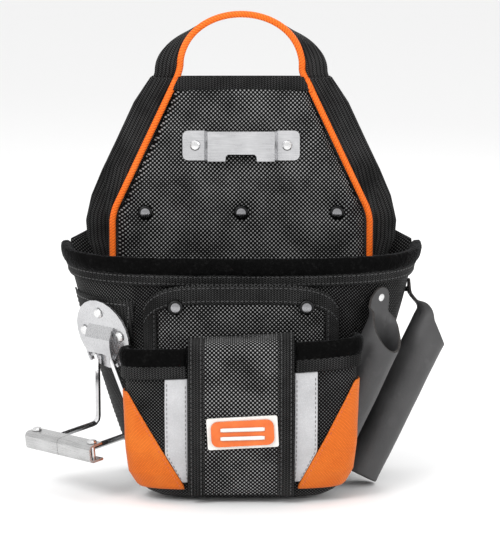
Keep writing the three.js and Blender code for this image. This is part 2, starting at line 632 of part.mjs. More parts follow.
const PLATE_Z = 2.6;
const PLATE_T = 1.6;
const HOOD_HALF = 12.6;
const CHEEK = 1.6;
const PIVOT = v3(0, -15, PLATE_Z + PLATE_T + 3);
const plateRivets = [v3(-18, 1, 0), v3(18, 1, 0), v3(0, 16.5, 0)];
const sideways = (points, half) =>
  new THREE.ExtrudeGeometry(new THREE.Shape(points.map(([y, z]) => new THREE.Vector2(y, z))), {
    depth: 2 * half,
    bevelEnabled: false,
  })
    .applyMatrix4(new THREE.Matrix4().makeBasis(v3(0, 1, 0), v3(0, 0, 1), v3(1, 0, 0)))
    .translate(-half, 0, 0);
const hood = cut(
  sideways([[7, 4], [4, 7.5], [-1, 10.3], [-6, 11.4], [-13, 11.4], [-19.5, 10], [-19.5, 4]], HOOD_HALF),
  sideways(
    [[4.5, 4.2], [2.5, 6.6], [-1.5, 8.9], [-6, 9.8], [-12, 9.8], [-12, 20], [-30, 20], [-30, 4.2]],
    HOOD_HALF - CHEEK,
  ),
  cylinder(WIRE_R + GAP, 60, 12).rotateZ(Math.PI / 2).translate(0, PIVOT.y, PIVOT.z),
);
add(
  "hammer_plate",
  onWall(
    cut(
      join(cylinder(26, PLATE_T, 24).rotateX(Math.PI / 2).translate(0, 0, PLATE_Z + PLATE_T / 2), hood),
      ...plateRivets.map((p) => shankHole(20).translate(p.x, p.y, 0)),
    ),
  ),
  steel,
);
for (const [i, p] of plateRivets.entries()) {
  const place = v3(p.x, p.y, PLATE_Z + PLATE_T + GAP).applyMatrix4(hammerFrame);
  add(`hammer_rivet_${i + 1}`, aim(rivet(3.9, 2, gripDepth(place, wallNormal) + 1.4), place, wallNormal), steel);
}
const hammerRivetHoles = plateRivets.map((p) => onWall(shankHole(50).translate(p.x, p.y, 0)));
add("hammer_patch", cut(sheet(hammerPatch, 8, 3, GAP, GAP + 1.5), ...hammerRivetHoles), ballistic);

// The wire: two ends turned out into the cheeks, arms that spread down the wall and then reach outwards, and a
// cross bar. out is the direction of the reaching part in the local frame.
const out = v3(0, 0.1495, 0.9886);
const ARM_DROP = 56;
const ARM_REACH = 55;
const armEnd = v3(21, PIVOT.y - ARM_DROP, PIVOT.z);
const tip = armEnd.clone().addScaledVector(out, ARM_REACH);
const halfWire = [v3(HOOD_HALF + 1.8, PIVOT.y, PIVOT.z), v3(6.6, PIVOT.y, PIVOT.z), armEnd, tip];
function roundedPath(points, r) {
  const path = new THREE.CurvePath();
  let from = points[0];
  for (let i = 1; i < points.length - 1; i++) {
    const [before, corner, after] = [points[i - 1], points[i], points[i + 1]];
    const a = corner.clone().add(before.clone().sub(corner).setLength(Math.min(r, before.distanceTo(corner) * 0.45)));
    const b = corner.clone().add(after.clone().sub(corner).setLength(Math.min(r, after.distanceTo(corner) * 0.45)));
    path.add(new THREE.LineCurve3(from, a));
    path.add(new THREE.QuadraticBezierCurve3(a, corner, b));
    from = b;
  }
  path.add(new THREE.LineCurve3(from, points.at(-1)));
  return path;
}
const mirrored = halfWire.map((p) => v3(-p.x, p.y, p.z)).reverse();
add("hammer_wire", onWall(tubeAlong(roundedPath([...halfWire, ...mirrored], 6), WIRE_R, 84, 6)), steel);

// Two rounded channels over the cross bar, open towards the pouch, each riveted near its outer end.
const SLEEVE_HALF = 33.5;
const sleeveFrame = new THREE.Matrix4()
  .makeBasis(v3(1, 0, 0), v3(0, out.z, -out.y), out)
  .setPosition(v3(0, tip.y, tip.z));
const onSleeve = (geometry) => onWall(geometry.applyMatrix4(sleeveFrame));
const channelOutline = [[-6.5, -8], [6.5, -8], [6.5, 1.5], [5.6, 3.6], [3.5, 4.6], [-3.5, 4.6], [-5.6, 3.6], [-6.5, 1.5]];
const channelHollow = [[-4.9, -12], [4.9, -12], [4.9, 1.5], [3.6, 3], [-3.6, 3], [-4.9, 1.5]];
const sleeveRivetX = 28.5;
for (const [side, sign] of [
  ["left", -1],
  ["right", 1],
]) {
  const length = SLEEVE_HALF - GAP / 2;
  const middle = (sign * (SLEEVE_HALF + GAP / 2)) / 2;
  add(
    `hammer_channel_${side}`,
    onSleeve(
      cut(
        sideways(channelOutline, length / 2).translate(middle, 0, 0),
        sideways(channelHollow, length).translate(middle + sign * (sign < 0 ? 0.5 * length + 1.6 : 0) * -1, 0, 0),
        cylinder(2.1, 40, 12).translate(sign * sleeveRivetX, 0, -3),
      ),
    ),
    steel,
  );
  add(
    `hammer_channel_rivet_${side}`,
    onSleeve(rivet(3.6, 1.9, 13.6).rotateX(-Math.PI / 2).translate(sign * sleeveRivetX, 6.8, -3)),
    steel,
  );
}

// ---- Main pocket wall, with the holes of everything riveted to it -------------------------------------------
const wallHoles = [...midRivetHoles, ...tubeRivetHoles, ...hammerRivetHoles];
const hollowZs = [WALL, ...MAIN_ZS.slice(1), RIM_Z + 3];
add("main_pocket", cut(mainBlock(0, 0, MAIN_ZS), mainBlock(-WALL, 5, hollowZs), ...wallHoles), ballistic);
add("main_lining", sheet(mainSurface(8, RIM_Z - 1), 20, 5, -WALL - 4.6, -WALL - 3.6), foam);

export default pouch;
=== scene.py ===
import math

import bpy
import numpy as np
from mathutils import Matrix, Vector, noise


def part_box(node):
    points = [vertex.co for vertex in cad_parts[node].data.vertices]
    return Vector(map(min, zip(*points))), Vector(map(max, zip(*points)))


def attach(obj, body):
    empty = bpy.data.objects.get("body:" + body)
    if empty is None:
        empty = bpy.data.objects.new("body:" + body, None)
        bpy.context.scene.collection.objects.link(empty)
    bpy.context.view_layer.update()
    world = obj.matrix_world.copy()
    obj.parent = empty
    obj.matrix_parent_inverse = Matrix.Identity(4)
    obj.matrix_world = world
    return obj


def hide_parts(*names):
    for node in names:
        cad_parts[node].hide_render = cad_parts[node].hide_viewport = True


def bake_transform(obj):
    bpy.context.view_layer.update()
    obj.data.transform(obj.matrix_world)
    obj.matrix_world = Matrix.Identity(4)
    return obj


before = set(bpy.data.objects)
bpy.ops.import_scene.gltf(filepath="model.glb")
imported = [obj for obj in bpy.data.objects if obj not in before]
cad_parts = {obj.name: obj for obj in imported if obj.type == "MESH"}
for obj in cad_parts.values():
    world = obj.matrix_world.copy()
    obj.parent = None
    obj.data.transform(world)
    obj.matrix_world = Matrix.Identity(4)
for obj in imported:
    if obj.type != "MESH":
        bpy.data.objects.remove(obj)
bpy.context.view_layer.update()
MM = 0.001
SIDES = {"left": -1, "right": 1}

# ---- Dimensions shared with the frame, in millimetres ------------------------
BACK_Y = 40
BACK_TOP_Z = 288.5
SHOULDER_Z = 190
FACE_HALF = 90
FACE_TOP_HALF = 43.5
FACE_LOW_Z = 9
FACE_TOP_Z = 287.5
WING_LOW_Z = 146.5
WING_TOP_Z = 287.6
RIM_Z = 158
FLEECE_H = 11
FRONT_RIM_Z = 103
FRONT_FLEECE_H = 12
FRONT_SLOPE = 0.055
PIPING_R = 2.3
PIPING_Y = 29.6
PIPING_STAND = 2.6
HANDLE_HALF_W = 44
HANDLE_H = 42
HANDLE_FOOT_Z = 291.6
RIVET_ROW_Z = 191
BACK_RIVETS = [(x, RIVET_ROW_Z) for x in (-69.0, 0.0, 69.0)]
CLIP_Z = 240
TUBE_R = 14.5
TUBE_WALL = 2.3


def lerp(a, b, t):
    return a + (b - a) * t


def clamp01(t):
    return min(max(t, 0.0), 1.0)


def smooth(t):
    t = clamp01(t)
    return t * t * (3 - 2 * t)


def bump(x, centre, half_width):
    """1 at the centre, falling smoothly to 0 at half_width either side."""
    return smooth(1 - abs(x - centre) / half_width)


def ripple(p, scale, seed):
    """Smooth noise from -1 to 1 at a point in millimetres."""
    return noise.noise(Vector((p[0] / scale + seed, p[1] / scale - seed, p[2] / scale + 2 * seed)))


# ---- The main pocket's wall --------------------------------------------------
def swell(z):
    """How far the pocket has opened from its floor (0) towards its rim (about 1)."""
    return (max(z, 0) / 155) ** 0.75


def main_half(z):
    return 73 + 50 * swell(z)


def main_depth(z):
    return 64 + 18 * swell(z)


def main_power(z):
    return 2 + 1.1 * swell(z)


def main_point(phi, z, off=0.0):
    n = main_power(z)
    c, s = math.cos(phi), max(math.sin(phi), 0)
    r = (abs(c / (main_half(z) + off)) ** n + (s / (main_depth(z) + off)) ** n) ** (-1 / n)
    return np.array((r * c, BACK_Y - r * s, z))


def main_front_y(x, z):
    share = min(abs(x) / main_half(z), 1)
    return BACK_Y - main_depth(z) * (1 - share ** main_power(z)) ** (1 / main_power(z))


def face_half(z):
    if z > SHOULDER_Z:
        return lerp(FACE_HALF, FACE_TOP_HALF, (z - SHOULDER_Z) / (BACK_TOP_Z - SHOULDER_Z))
    return min(FACE_HALF, main_half(z) - 15)


# The wings' outer edge as (half width, height), from the top down.
WING_EDGE = [(64, 288), (76, 270), (89, 242), (99, 221), (107, 202), (111, 184), (110, 171), (104, 158),
             (97, 146)]


def wing_half(z):
    zs = [p[1] for p in WING_EDGE][::-1]
    xs = [p[0] for p in WING_EDGE][::-1]
    return float(np.interp(z, zs, xs))


def rear_half(z):
    above = smooth((z - (RIM_Z + FLEECE_H)) / 8)
    return lerp(main_half(min(z, RIM_Z)) - 0.5, min(wing_half(z), 116), above)


# ---- Mesh building -----------------------------------------------------------
def make_object(name, verts, faces, material, uvs=None):
    """A mesh object from millimetre vertices. uvs holds each vertex's (u, v), in millimetres of cloth."""
    mesh = bpy.data.meshes.new(name)
    mesh.from_pydata([tuple(float(c) * MM for c in v) for v in verts], [], faces)
    mesh.update()
    if uvs is not None:
        layer = mesh.uv_layers.new(name="cloth")
        loops = np.zeros(len(mesh.loops), np.int32)
        mesh.loops.foreach_get("vertex_index", loops)
        flat = np.asarray(uvs, float)[loops] * MM * 10
        layer.data.foreach_set("uv", flat.astype(np.float32).ravel())
    obj = bpy.data.objects.new(name, mesh)
    bpy.context.scene.collection.objects.link(obj)
    mesh.materials.append(material)
    mesh.polygons.foreach_set("use_smooth", [True] * len(mesh.polygons))
    return obj


def grid_normals(p):
    du = np.gradient(p, axis=1)
    dv = np.gradient(p, axis=0)
    n = np.cross(du, dv)
    return n / np.maximum(np.linalg.norm(n, axis=2, keepdims=True), 1e-9)


def arc_uv(p):
    """Distances along rows and columns of a point grid, for a weave that keeps its scale."""
    du = np.linalg.norm(np.diff(p, axis=1), axis=2)
    dv = np.linalg.norm(np.diff(p, axis=0), axis=2)
    u = np.concatenate([np.zeros((p.shape[0], 1)), np.cumsum(du, axis=1)], axis=1)
    u -= u[:, u.shape[1] // 2][:, None]
    v = np.concatenate([np.zeros((1, p.shape[1])), np.cumsum(dv, axis=0)], axis=0)
    return np.stack([u, v], axis=2)


def arc_lengths(points):
    """The distance travelled along points, from 0 at the first."""
    return np.concatenate([[0], np.cumsum(np.linalg.norm(np.diff(points, axis=0), axis=1))])


def point_grid(fn, nu, nv):
    return np.array([[fn(i / nu, j / nv) for i in range(nu + 1)] for j in range(nv + 1)])


def two_sided(nu, nv):
    """The faces of a front and a back grid, the (row, column) loop round their rim, and a vertex's index."""
    size = (nu + 1) * (nv + 1)

    def at(side, j, i):
        return side * size + j * (nu + 1) + i

    faces = []
    for j in range(nv):
        for i in range(nu):
            faces.append((at(0, j, i), at(0, j, i + 1), at(0, j + 1, i + 1), at(0, j + 1, i)))
            faces.append((at(1, j, i), at(1, j + 1, i), at(1, j + 1, i + 1), at(1, j, i + 1)))
    loop = [(0, i) for i in range(nu)] + [(j, nu) for j in range(nv)]
    loop += [(nv, i) for i in range(nu, 0, -1)] + [(j, 0) for j in range(nv, 0, -1)]
    return faces, loop, at


GRIDS = {}


def cloth(name, fn, nu, nv, thickness, material, lift=0.0):
    """A cloth panel of real thickness over the surface fn(u, v), its outside lift away along the normal. Its
    edges are rounded by a middle row that stands half the thickness proud."""
    p = point_grid(fn, nu, nv)
    n = grid_normals(p)
    uv = arc_uv(p)
    front, back = p + n * lift, p + n * (lift - thickness)
    verts = [*front.reshape(-1, 3), *back.reshape(-1, 3)]
    uvs = [*uv.reshape(-1, 2), *uv.reshape(-1, 2)]
    faces, loop, at = two_sided(nu, nv)
    middle_start = len(verts)
    for j, i in loop:
        inner = p[min(max(j, 1), nv - 1), min(max(i, 1), nu - 1)]
        outward = p[j, i] - inner
        outward /= max(np.linalg.norm(outward), 1e-9)
        verts.append((front[j, i] + back[j, i]) / 2 + outward * thickness * 0.5)
        uvs.append(uv[j, i])
    count = len(loop)
    for k, (j, i) in enumerate(loop):
        j2, i2 = loop[(k + 1) % count]
        m, m2 = middle_start + k, middle_start + (k + 1) % count
        faces.append((at(0, j2, i2), at(0, j, i), m, m2))
        faces.append((m2, m, at(1, j, i), at(1, j2, i2)))
    GRIDS[name] = (front, n)
    return make_object(name, verts, faces, material, uvs)


def bag_shell(name, outer, inner, nu, nv, material):
    """A bag's wall as one closed shell: outside and inside grids, joined at the rim, ends and bottom."""
    shells = [point_grid(fn, nu, nv) for fn in (outer, inner)]
    GRIDS[name] = (shells[0], grid_normals(shells[0]))
    verts = [point for p in shells for point in p.reshape(-1, 3)]
    uvs = [point for p in shells for point in arc_uv(p).reshape(-1, 2)]
    faces, loop, at = two_sided(nu, nv)
    for k, (j, i) in enumerate(loop):
        j2, i2 = loop[(k + 1) % len(loop)]
        faces.append((at(0, j2, i2), at(0, j, i), at(1, j, i), at(1, j2, i2)))
    return make_object(name, verts, faces, material, uvs)


def sweep(name, centres, ups, outs, profile, material, fuzz=0.0, grain=1.4, lumps=0.0):
    """Sweeps a closed profile of (out, up) offsets along centres. fuzz and lumps push the skin about."""
    verts, uvs, faces = [], [], []
    count = len(profile)
    travelled = 0.0
    for k, c in enumerate(centres):
        if k:
            travelled += np.linalg.norm(centres[k] - centres[k - 1])
        around = 0.0
        for m, (a, b) in enumerate(profile):
            radial = outs[k] * a + ups[k] * b
            p = c + outs[k] * a + ups[k] * b
            radial = radial / max(np.linalg.norm(radial), 1e-9)
            push = fuzz * ripple(p, grain, 3.1) + fuzz * 0.6 * ripple(p, grain * 2.7, 8.2)
            push += lumps * ripple(p, 16, 5.7)
            verts.append(p + radial * push)
            uvs.append((travelled, around))
            a2, b2 = profile[(m + 1) % count]
            around += math.hypot(a2 - a, b2 - b)
    for k in range(len(centres) - 1):
        for m in range(count):
            a, b = k * count + m, k * count + (m + 1) % count
            faces.append((a, b, b + count, a + count))
    for k, flip in ((0, True), (len(centres) - 1, False)):
        hub = len(verts)
        verts.append(centres[k])
        uvs.append((0, 0))
        for m in range(count):
            a, b = k * count + m, k * count + (m + 1) % count
            faces.append((hub, b, a) if flip else (hub, a, b))
    return make_object(name, verts, faces, material, uvs)


def circle(r, sides):
    angles = [2 * math.pi * i / sides for i in range(sides)]
    return [(r * math.cos(a), r * math.sin(a)) for a in angles]


def path_frames(points, reference):
    """Tangent-following frames along points, kept as close as can be to the reference direction."""
    p = np.asarray(points, float)
    t = np.gradient(p, axis=0)
    t /= np.linalg.norm(t, axis=1)[:, None]
    outs, ups = [], []
    r = np.asarray(reference, float)
    for k in range(len(p)):
        o = r - t[k] * np.dot(r, t[k])
        o /= np.linalg.norm(o)
        outs.append(o)
        ups.append(np.cross(t[k], o))
        r = o
    return outs, ups


def cord(name, points, r, material):
    """A round cord of 18 sides along points."""
    outs, ups = path_frames(points, (0, -1, 0))
    return sweep(name, [np.asarray(q, float) for q in points], ups, outs, circle(r, 18)[::-1], material)


def spline(points, count):
    """Catmull-Rom through points, resampled evenly."""
    p = np.asarray(points, float)
    p = np.vstack([2 * p[0] - p[1], p, 2 * p[-1] - p[-2]])
    dense = []
    for k in range(1, len(p) - 2):
        for t in np.linspace(0, 1, 24, endpoint=False):
            a, b, c, d = p[k - 1], p[k], p[k + 1], p[k + 2]
            square, cube = (2 * a - 5 * b + 4 * c - d) * t**2, (3 * b - a - 3 * c + d) * t**3
            dense.append(0.5 * (2 * b + (c - a) * t + square + cube))
    dense.append(p[-2])
    return resample(dense, count)


def resample(points, count):
    p = np.asarray(points, float)
    s = arc_lengths(p)
    at = np.linspace(0, s[-1], count)
    return np.stack([np.interp(at, s, p[:, k]) for k in range(3)], axis=1)


def lathe(name, profile, place, direction, material):
    """Turns a profile of (radius, height) about direction, from the outside edge to the axis and back."""
    sides = 40
    z = Vector(direction).normalized()
    x = z.orthogonal().normalized()
    y = z.cross(x)
    verts, faces = [], []
    rings = [q for q in profile if q[0] > 1e-6]
    for r, h in rings:
        for i in range(sides):
            a = 2 * math.pi * i / sides
            p = Vector(place) + z * h + x * (r * math.cos(a)) + y * (r * math.sin(a))
            verts.append(tuple(p))
    for k in range(len(rings) - 1):
        for i in range(sides):
            a, b = k * sides + i, k * sides + (i + 1) % sides
            faces.append((a, b, b + sides, a + sides))
    for ring, h, flip in ((0, profile[0][1], True), (len(rings) - 1, profile[-1][1], False)):
        hub = len(verts)
        verts.append(tuple(Vector(place) + z * h))
        for i in range(sides):
            a, b = ring * sides + i, ring * sides + (i + 1) % sides
            faces.append((hub, b, a) if flip else (hub, a, b))
    return make_object(name, verts, faces, material)


def join_meshes(name, objs):
    """Joins several objects into one named piece."""
    bpy.ops.object.select_all(action="DESELECT")
    for o in objs:
        o.select_set(True)
    bpy.context.view_layer.objects.active = objs[0]
    bpy.ops.object.join()
    objs[0].name = name
    objs[0].data.name = name
    return objs[0]


STITCH_LENGTH = 2.5
STITCH_SINK = 0.1


def stitch_row(points, normals, pitch=3.4, r=0.34):
    """Vertices and faces of a row of thread stitches, each a six-sided spindle lying on a surface."""
    p = np.asarray(points, float)
    n = np.asarray(normals, float)
    s = arc_lengths(p)
    verts, faces = [], []
    rings = [(-0.5, 0.25, -0.5), (-0.36, 0.85, 0.2), (0.0, 1.0, 0.55), (0.36, 0.85, 0.2), (0.5, 0.25, -0.5)]
    sides = 6
    for k in range(int(s[-1] / pitch)):
        at = (k + 0.5) * pitch
        q = np.array([np.interp(at, s, p[:, c]) for c in range(3)])
        ahead = np.array([np.interp(at + 0.5, s, p[:, c]) for c in range(3)])
        m = np.array([np.interp(at, s, n[:, c]) for c in range(3)])
        m /= max(np.linalg.norm(m), 1e-9)
        t = ahead - q
        if np.linalg.norm(t) < 1e-6:
            continue
        t /= np.linalg.norm(t)
        side = np.cross(m, t)
        base = len(verts)
        for along, scale, high in rings:
            for c in range(sides):
                a = 2 * math.pi * c / sides
                height = math.sin(a) * r * scale + high * r - STITCH_SINK
                offset = side * (math.cos(a) * r * scale) + m * height
                verts.append(q + t * (along * STITCH_LENGTH) + offset)
        for j in range(len(rings) - 1):
            for c in range(sides):
                a, b = base + j * sides + c, base + j * sides + (c + 1) % sides
                faces.append((a, b, b + sides, a + sides))
        faces.append(tuple(base + c for c in range(sides - 1, -1, -1)))
        faces.append(tuple(base + (len(rings) - 1) * sides + c for c in range(sides)))
    return verts, faces


def stitching(name, rows, material, **kw):
    """One object holding several rows of stitches. rows is a list of (points, normals)."""
    verts, faces = [], []
    for points, normals in rows:
        v, f = stitch_row(points, normals, **kw)
        faces += [tuple(i + len(verts) for i in face) for face in f]
        verts += v
    return make_object(name, verts, faces, material)


def grid_row(name, v=None, u=None):
    """Points and normals along one row (v) or column (u) of a cloth panel, both from 0 to 1."""
    p, n = GRIDS[name]
    if v is not None:
        j = v * (p.shape[0] - 1)
        k = min(int(j), p.shape[0] - 2)
        f = j - k
        return lerp(p[k], p[k + 1], f), lerp(n[k], n[k + 1], f)
    i = u * (p.shape[1] - 1)
    k = min(int(i), p.shape[1] - 2)
    f = i - k
    return lerp(p[:, k], p[:, k + 1], f), lerp(n[:, k], n[:, k + 1], f)


def seam_rows(panel, vs=(), us=(), trim=1):
    """Rows (vs) and columns (us) of a cloth panel for stitching, each short by trim points at both ends."""
    rows = [grid_row(panel, v=v) for v in vs] + [grid_row(panel, u=u) for u in us]
    return [(p[trim : len(p) - trim], n[trim : len(n) - trim]) for p, n in rows]


def finish_piece(obj, body, slot, *nodes):
    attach(obj, body)
    if nodes:
        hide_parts(*nodes)


def sew(name, rows, material, slot, **sizes):
    """Stitches along rows, as one piece on the pouch."""
    finish_piece(stitching(name, rows, material, **sizes), "pouch", slot)


# ---- Materials ---------------------------------------------------------------
class Look:
    """A node material: short calls that add a node and wire its inputs."""

    def __init__(self, name, **shader):
        self.material = bpy.data.materials.new(name)
        self.material.use_nodes = True
        self.tree = self.material.node_tree
        self.shader = self.tree.nodes["Principled BSDF"]
        for key, value in shader.items():
            self.shader.inputs[key.replace("_", " ")].default_value = value

    def add(self, kind, inputs=(), **props):
        made = self.tree.nodes.new(kind)
        for key, value in props.items():
            setattr(made, key, value)
        for key, value in dict(inputs).items():
            if isinstance(value, bpy.types.NodeSocket):
                self.tree.links.new(value, made.inputs[key])
            else:
                made.inputs[key].default_value = value
        return made

    def math(self, op, a, b=0.0):
        return self.add("ShaderNodeMath", {0: a, 1: b}, operation=op).outputs[0]

    def times(self, a, b):
        return self.math("MULTIPLY", a, b)

    def plus(self, a, b):
        return self.math("ADD", a, b)

    def weigh(self, a, share_a, b, share_b):
        return self.plus(self.times(a, share_a), self.times(b, share_b))

    def cloth_uv(self):
        return self.add("ShaderNodeUVMap", uv_map="cloth").outputs[0]

    def place(self):
        return self.add("ShaderNodeTexCoord").outputs["Object"]

    def axes(self, vector):
        split = self.add("ShaderNodeSeparateXYZ", {0: vector})
        return split.outputs[0], split.outputs[1], split.outputs[2]

    def noise(self, vector, scale, detail=3.0, rough=0.55):
        settings = {"Vector": vector, "Scale": scale, "Detail": detail, "Roughness": rough}
        return self.add("ShaderNodeTexNoise", settings).outputs["Fac"]

    def ramp(self, fac, stops):
        made = self.add("ShaderNodeValToRGB", {0: fac})
        ramp = made.color_ramp
        while len(ramp.elements) < len(stops):
            ramp.elements.new(0.5)
        for element, (at, colour) in zip(ramp.elements, stops):
            element.position = at
            element.color = (*colour, 1)
        return made.outputs[0]

    def span(self, fac, low, high, from_low=0.0, from_high=1.0):
        values = {0: fac, 1: from_low, 2: from_high, 3: low, 4: high}
        return self.add("ShaderNodeMapRange", values).outputs[0]

    def mix(self, fac, a, b):
        made = self.add("ShaderNodeMix", data_type="RGBA", blend_type="MIX")
        for slot, value in ((0, fac), (6, a), (7, b)):
            if isinstance(value, bpy.types.NodeSocket):
                self.tree.links.new(value, made.inputs[slot])
            else:
                made.inputs[slot].default_value = (*value, 1)
        return made.outputs[2]

    def wire(self, colour, roughness, height, distance, strength):
        """Wires the shader's colour, roughness and relief, the relief being distance metres high."""
        lifted = self.add("ShaderNodeBump", {"Height": height, "Strength": strength, "Distance": distance})
        wired = {"Base Color": colour, "Roughness": roughness, "Normal": lifted.outputs[0]}
        for key, socket in wired.items():
            self.tree.links.new(socket, self.shader.inputs[key])
        return self.material


def grey(v):
    return (v, v, v)


def weave_fields(look, pitch):
    """A plain weave's height and which yarn is on top, with pitch in millimetres between yarns. The cloth UV
    runs at 100 mm to the unit."""
    u, v, _ = look.axes(look.cloth_uv())
    turn = math.pi * 100 / pitch
    su = look.math("SINE", look.times(u, turn))
    sv = look.math("SINE", look.times(v, turn))
    product = look.times(su, sv)
    height = look.math("POWER", look.math("ABSOLUTE", product), 0.6)
    over = look.span(product, 0, 1, -0.06, 0.06)
    return height, over


def ballistic(name, dark, light, pitch, sheen=0.03):
    look = Look(name, Specular_IOR_Level=0.06, Sheen_Weight=sheen, Sheen_Roughness=0.4)
    height, over = weave_fields(look, pitch)
    place = look.place()
    cloudy = look.noise(place, 45, 4)
    # Painted light: yarn crests and the yarn on top get a painted glint, valleys and the yarn underneath
    # painted shade (the dark * 0.35 stop); cloudy adds random tone.
    lit = look.times(height, look.span(over, 0.1, 1.0))
    lit = look.times(lit, look.span(cloudy, 0.7, 1.25, 0.3, 0.7))
    stops = [(0.0, dark * 0.35), (0.36, dark), (0.62, light * 0.6), (0.9, light)]
    colour = look.ramp(lit, [(at, grey(tone)) for at, tone in stops])
    fluff = look.noise(place, 260, 2)
    rough = look.span(look.plus(lit, look.times(fluff, 0.3)), 0.82, 0.48)
    relief = look.plus(look.times(height, look.span(over, 0.6, 1.0)), look.times(fluff, 0.15))
    return look.wire(colour, rough, relief, 0.00045, 0.8)


def webbing(name, dark, light, rib=2.6):
    """Herringbone tape: ribs along v whose twill lines lean one way and then the other."""
    look = Look(name, Specular_IOR_Level=0.06, Sheen_Weight=0.02, Sheen_Roughness=0.5)
    u, v, _ = look.axes(look.cloth_uv())
    zigzag = look.math("PINGPONG", look.times(u, 100), rib)
    along = look.plus(look.times(v, 100), look.times(zigzag, 0.9))
    twill = look.math("SINE", look.times(along, 2 * math.pi / 1.5))
    twill = look.span(twill, 0, 1, -0.9, 0.9)
    valley = look.math("SINE", look.times(u, 100 * math.pi / rib))
    groove = look.math("POWER", look.math("ABSOLUTE", valley), 0.4)
    place = look.place()
    fluff = look.noise(place, 300, 3)
    worn = look.noise(place, 35, 3)
    # Painted light: the twill ridges get a painted highlight and the grooves between ribs painted shade; worn
    # adds random wear.
    lit = look.times(look.times(twill, groove), look.span(worn, 0.65, 1.2, 0.3, 0.7))
    colour = look.ramp(lit, [(0.0, grey(dark * 0.5)), (0.35, grey(dark)), (0.95, grey(light))])
    rough = look.span(look.plus(lit, look.times(fluff, 0.3)), 0.9, 0.6)
    relief = look.plus(look.times(twill, groove), look.times(fluff, 0.3))
    return look.wire(colour, rough, relief, 0.0004, 0.7)


def coloured_weave(name, deep, bright, worn_to):
    look = Look(name, Specular_IOR_Level=0.2, Sheen_Weight=0.06, Sheen_Roughness=0.35)
    height, over = weave_fields(look, 1.1)
    place = look.place()
    cloudy = look.noise(place, 30, 4)
    fine = look.noise(place, 420, 2)
    # Painted shade: weave valleys and the yarn underneath take the deep tone, crests the bright one; fine
    # adds random tone.
    lit = look.times(height, look.span(over, 0.55, 1.0))
    lit = look.weigh(lit, 0.75, fine, 0.25)
    base = look.ramp(lit, [(0.0, deep), (0.75, bright)])
    colour = look.mix(look.span(cloudy, 0.0, 0.35, 0.45, 0.75), base, worn_to)
    rough = look.span(lit, 0.75, 0.48)
    return look.wire(colour, rough, lit, 0.0003, 0.6)


def plush(name):
    look = Look(name, Roughness=0.95, Specular_IOR_Level=0.05, Sheen_Weight=0.12, Sheen_Roughness=0.25)
    look.shader.inputs["Sheen Tint"].default_value = (0.62, 0.63, 0.66, 1)
    place = look.place()
    nap = look.noise(place, 520, 4, 0.7)
    tufts = look.noise(place, 130, 3)
    both = look.weigh(nap, 0.6, tufts, 0.4)
    colour = look.ramp(both, [(0.3, grey(0.0006)), (0.55, grey(0.002)), (0.75, grey(0.009))])
    return look.wire(colour, look.span(nap, 0.98, 0.85), both, 0.0012, 0.9)


def leather(name):
    look = Look(name, Specular_IOR_Level=0.42)
    place = look.place()
    cells = look.add("ShaderNodeTexVoronoi", {"Vector": place, "Scale": 900.0}, feature="SMOOTH_F1")
    grain = look.noise(place, 700, 4)
    clouds = look.noise(place, 28, 5)
    twisted = {"Vector": place, "Scale": 60.0, "Detail": 6.0, "Distortion": 1.6}
    scuffs = look.add("ShaderNodeTexNoise", twisted).outputs["Fac"]
    tone = look.ramp(clouds, [(0.3, (0.030, 0.030, 0.031)), (0.7, (0.058, 0.057, 0.058))])
    colour = look.mix(look.span(scuffs, 0, 0.55, 0.6, 0.8), tone, (0.085, 0.082, 0.085))
    rough = look.span(look.weigh(clouds, 0.6, grain, 0.4), 0.38, 0.62, 0.3, 0.7)
    relief = look.math("SUBTRACT", grain, look.times(cells.outputs["Distance"], 0.5))
    return look.wire(colour, rough, relief, 0.0002, 0.5)


def leather_edge(name):
    look = Look(name, Specular_IOR_Level=0.3)
    place = look.place()
    fibre = look.noise(place, 500, 5, 0.7)
    colour = look.ramp(fibre, [(0.3, (0.012, 0.011, 0.011)), (0.7, (0.05, 0.045, 0.042))])
    return look.wire(colour, look.span(fibre, 0.7, 0.95), fibre, 0.0003, 0.6)


def metal(name, dark, light, rough=(0.22, 0.4), brush=(1.0, 1.0, 0.04)):
    """Rolled and brushed steel: streaks run along the axis whose brush scale is small."""
    look = Look(name, Metallic=1.0)
    place = look.place()
    stretched = look.add("ShaderNodeMapping", {0: place, 3: brush}).outputs[0]
    streaks = look.noise(stretched, 1600, 4)
    clouds = look.noise(place, 55, 4)
    nicks = look.noise(stretched, 240, 6)
    colour = look.ramp(look.weigh(streaks, 0.5, clouds, 0.5),
                       [(0.3, dark), (0.7, light)])
    uneven = look.plus(look.times(streaks, 0.5), look.times(clouds, 0.5))
    return look.wire(colour, look.span(uneven, rough[0], rough[1], 0.3, 0.7), nicks, 0.00008, 0.25)


def reflective(name):
    """Silver tape: fine glass beads in a hexagonal print on grey cloth."""
    look = Look(name, Metallic=0.25, Specular_IOR_Level=0.6)
    place = look.place()
    beads = look.add("ShaderNodeTexVoronoi", {"Vector": place, "Scale": 1500.0}).outputs["Distance"]
    clouds = look.noise(place, 40, 4)
    height, _ = weave_fields(look, 0.7)
    tone = look.weigh(clouds, 0.7, beads, 0.3)
    colour = look.ramp(tone, [(0.3, (0.36, 0.36, 0.37)), (0.7, (0.52, 0.52, 0.53))])
    rough = look.span(look.plus(clouds, look.times(beads, 0.4)), 0.32, 0.55, 0.3, 1.0)
    return look.wire(colour, rough, look.plus(height, beads), 0.00012, 0.35)


def moulded(name, colour_a, colour_b, coat, rough=(0.28, 0.42)):
    look = Look(name, Coat_Weight=coat, Coat_Roughness=0.15)
    place = look.place()
    clouds = look.noise(place, 90, 4)
    speck = look.noise(place, 900, 2)
    colour = look.mix(look.span(clouds, 0, 1, 0.35, 0.7), colour_a, colour_b)
    return look.wire(colour, look.span(speck, rough[0], rough[1]), speck, 0.00005, 0.3)


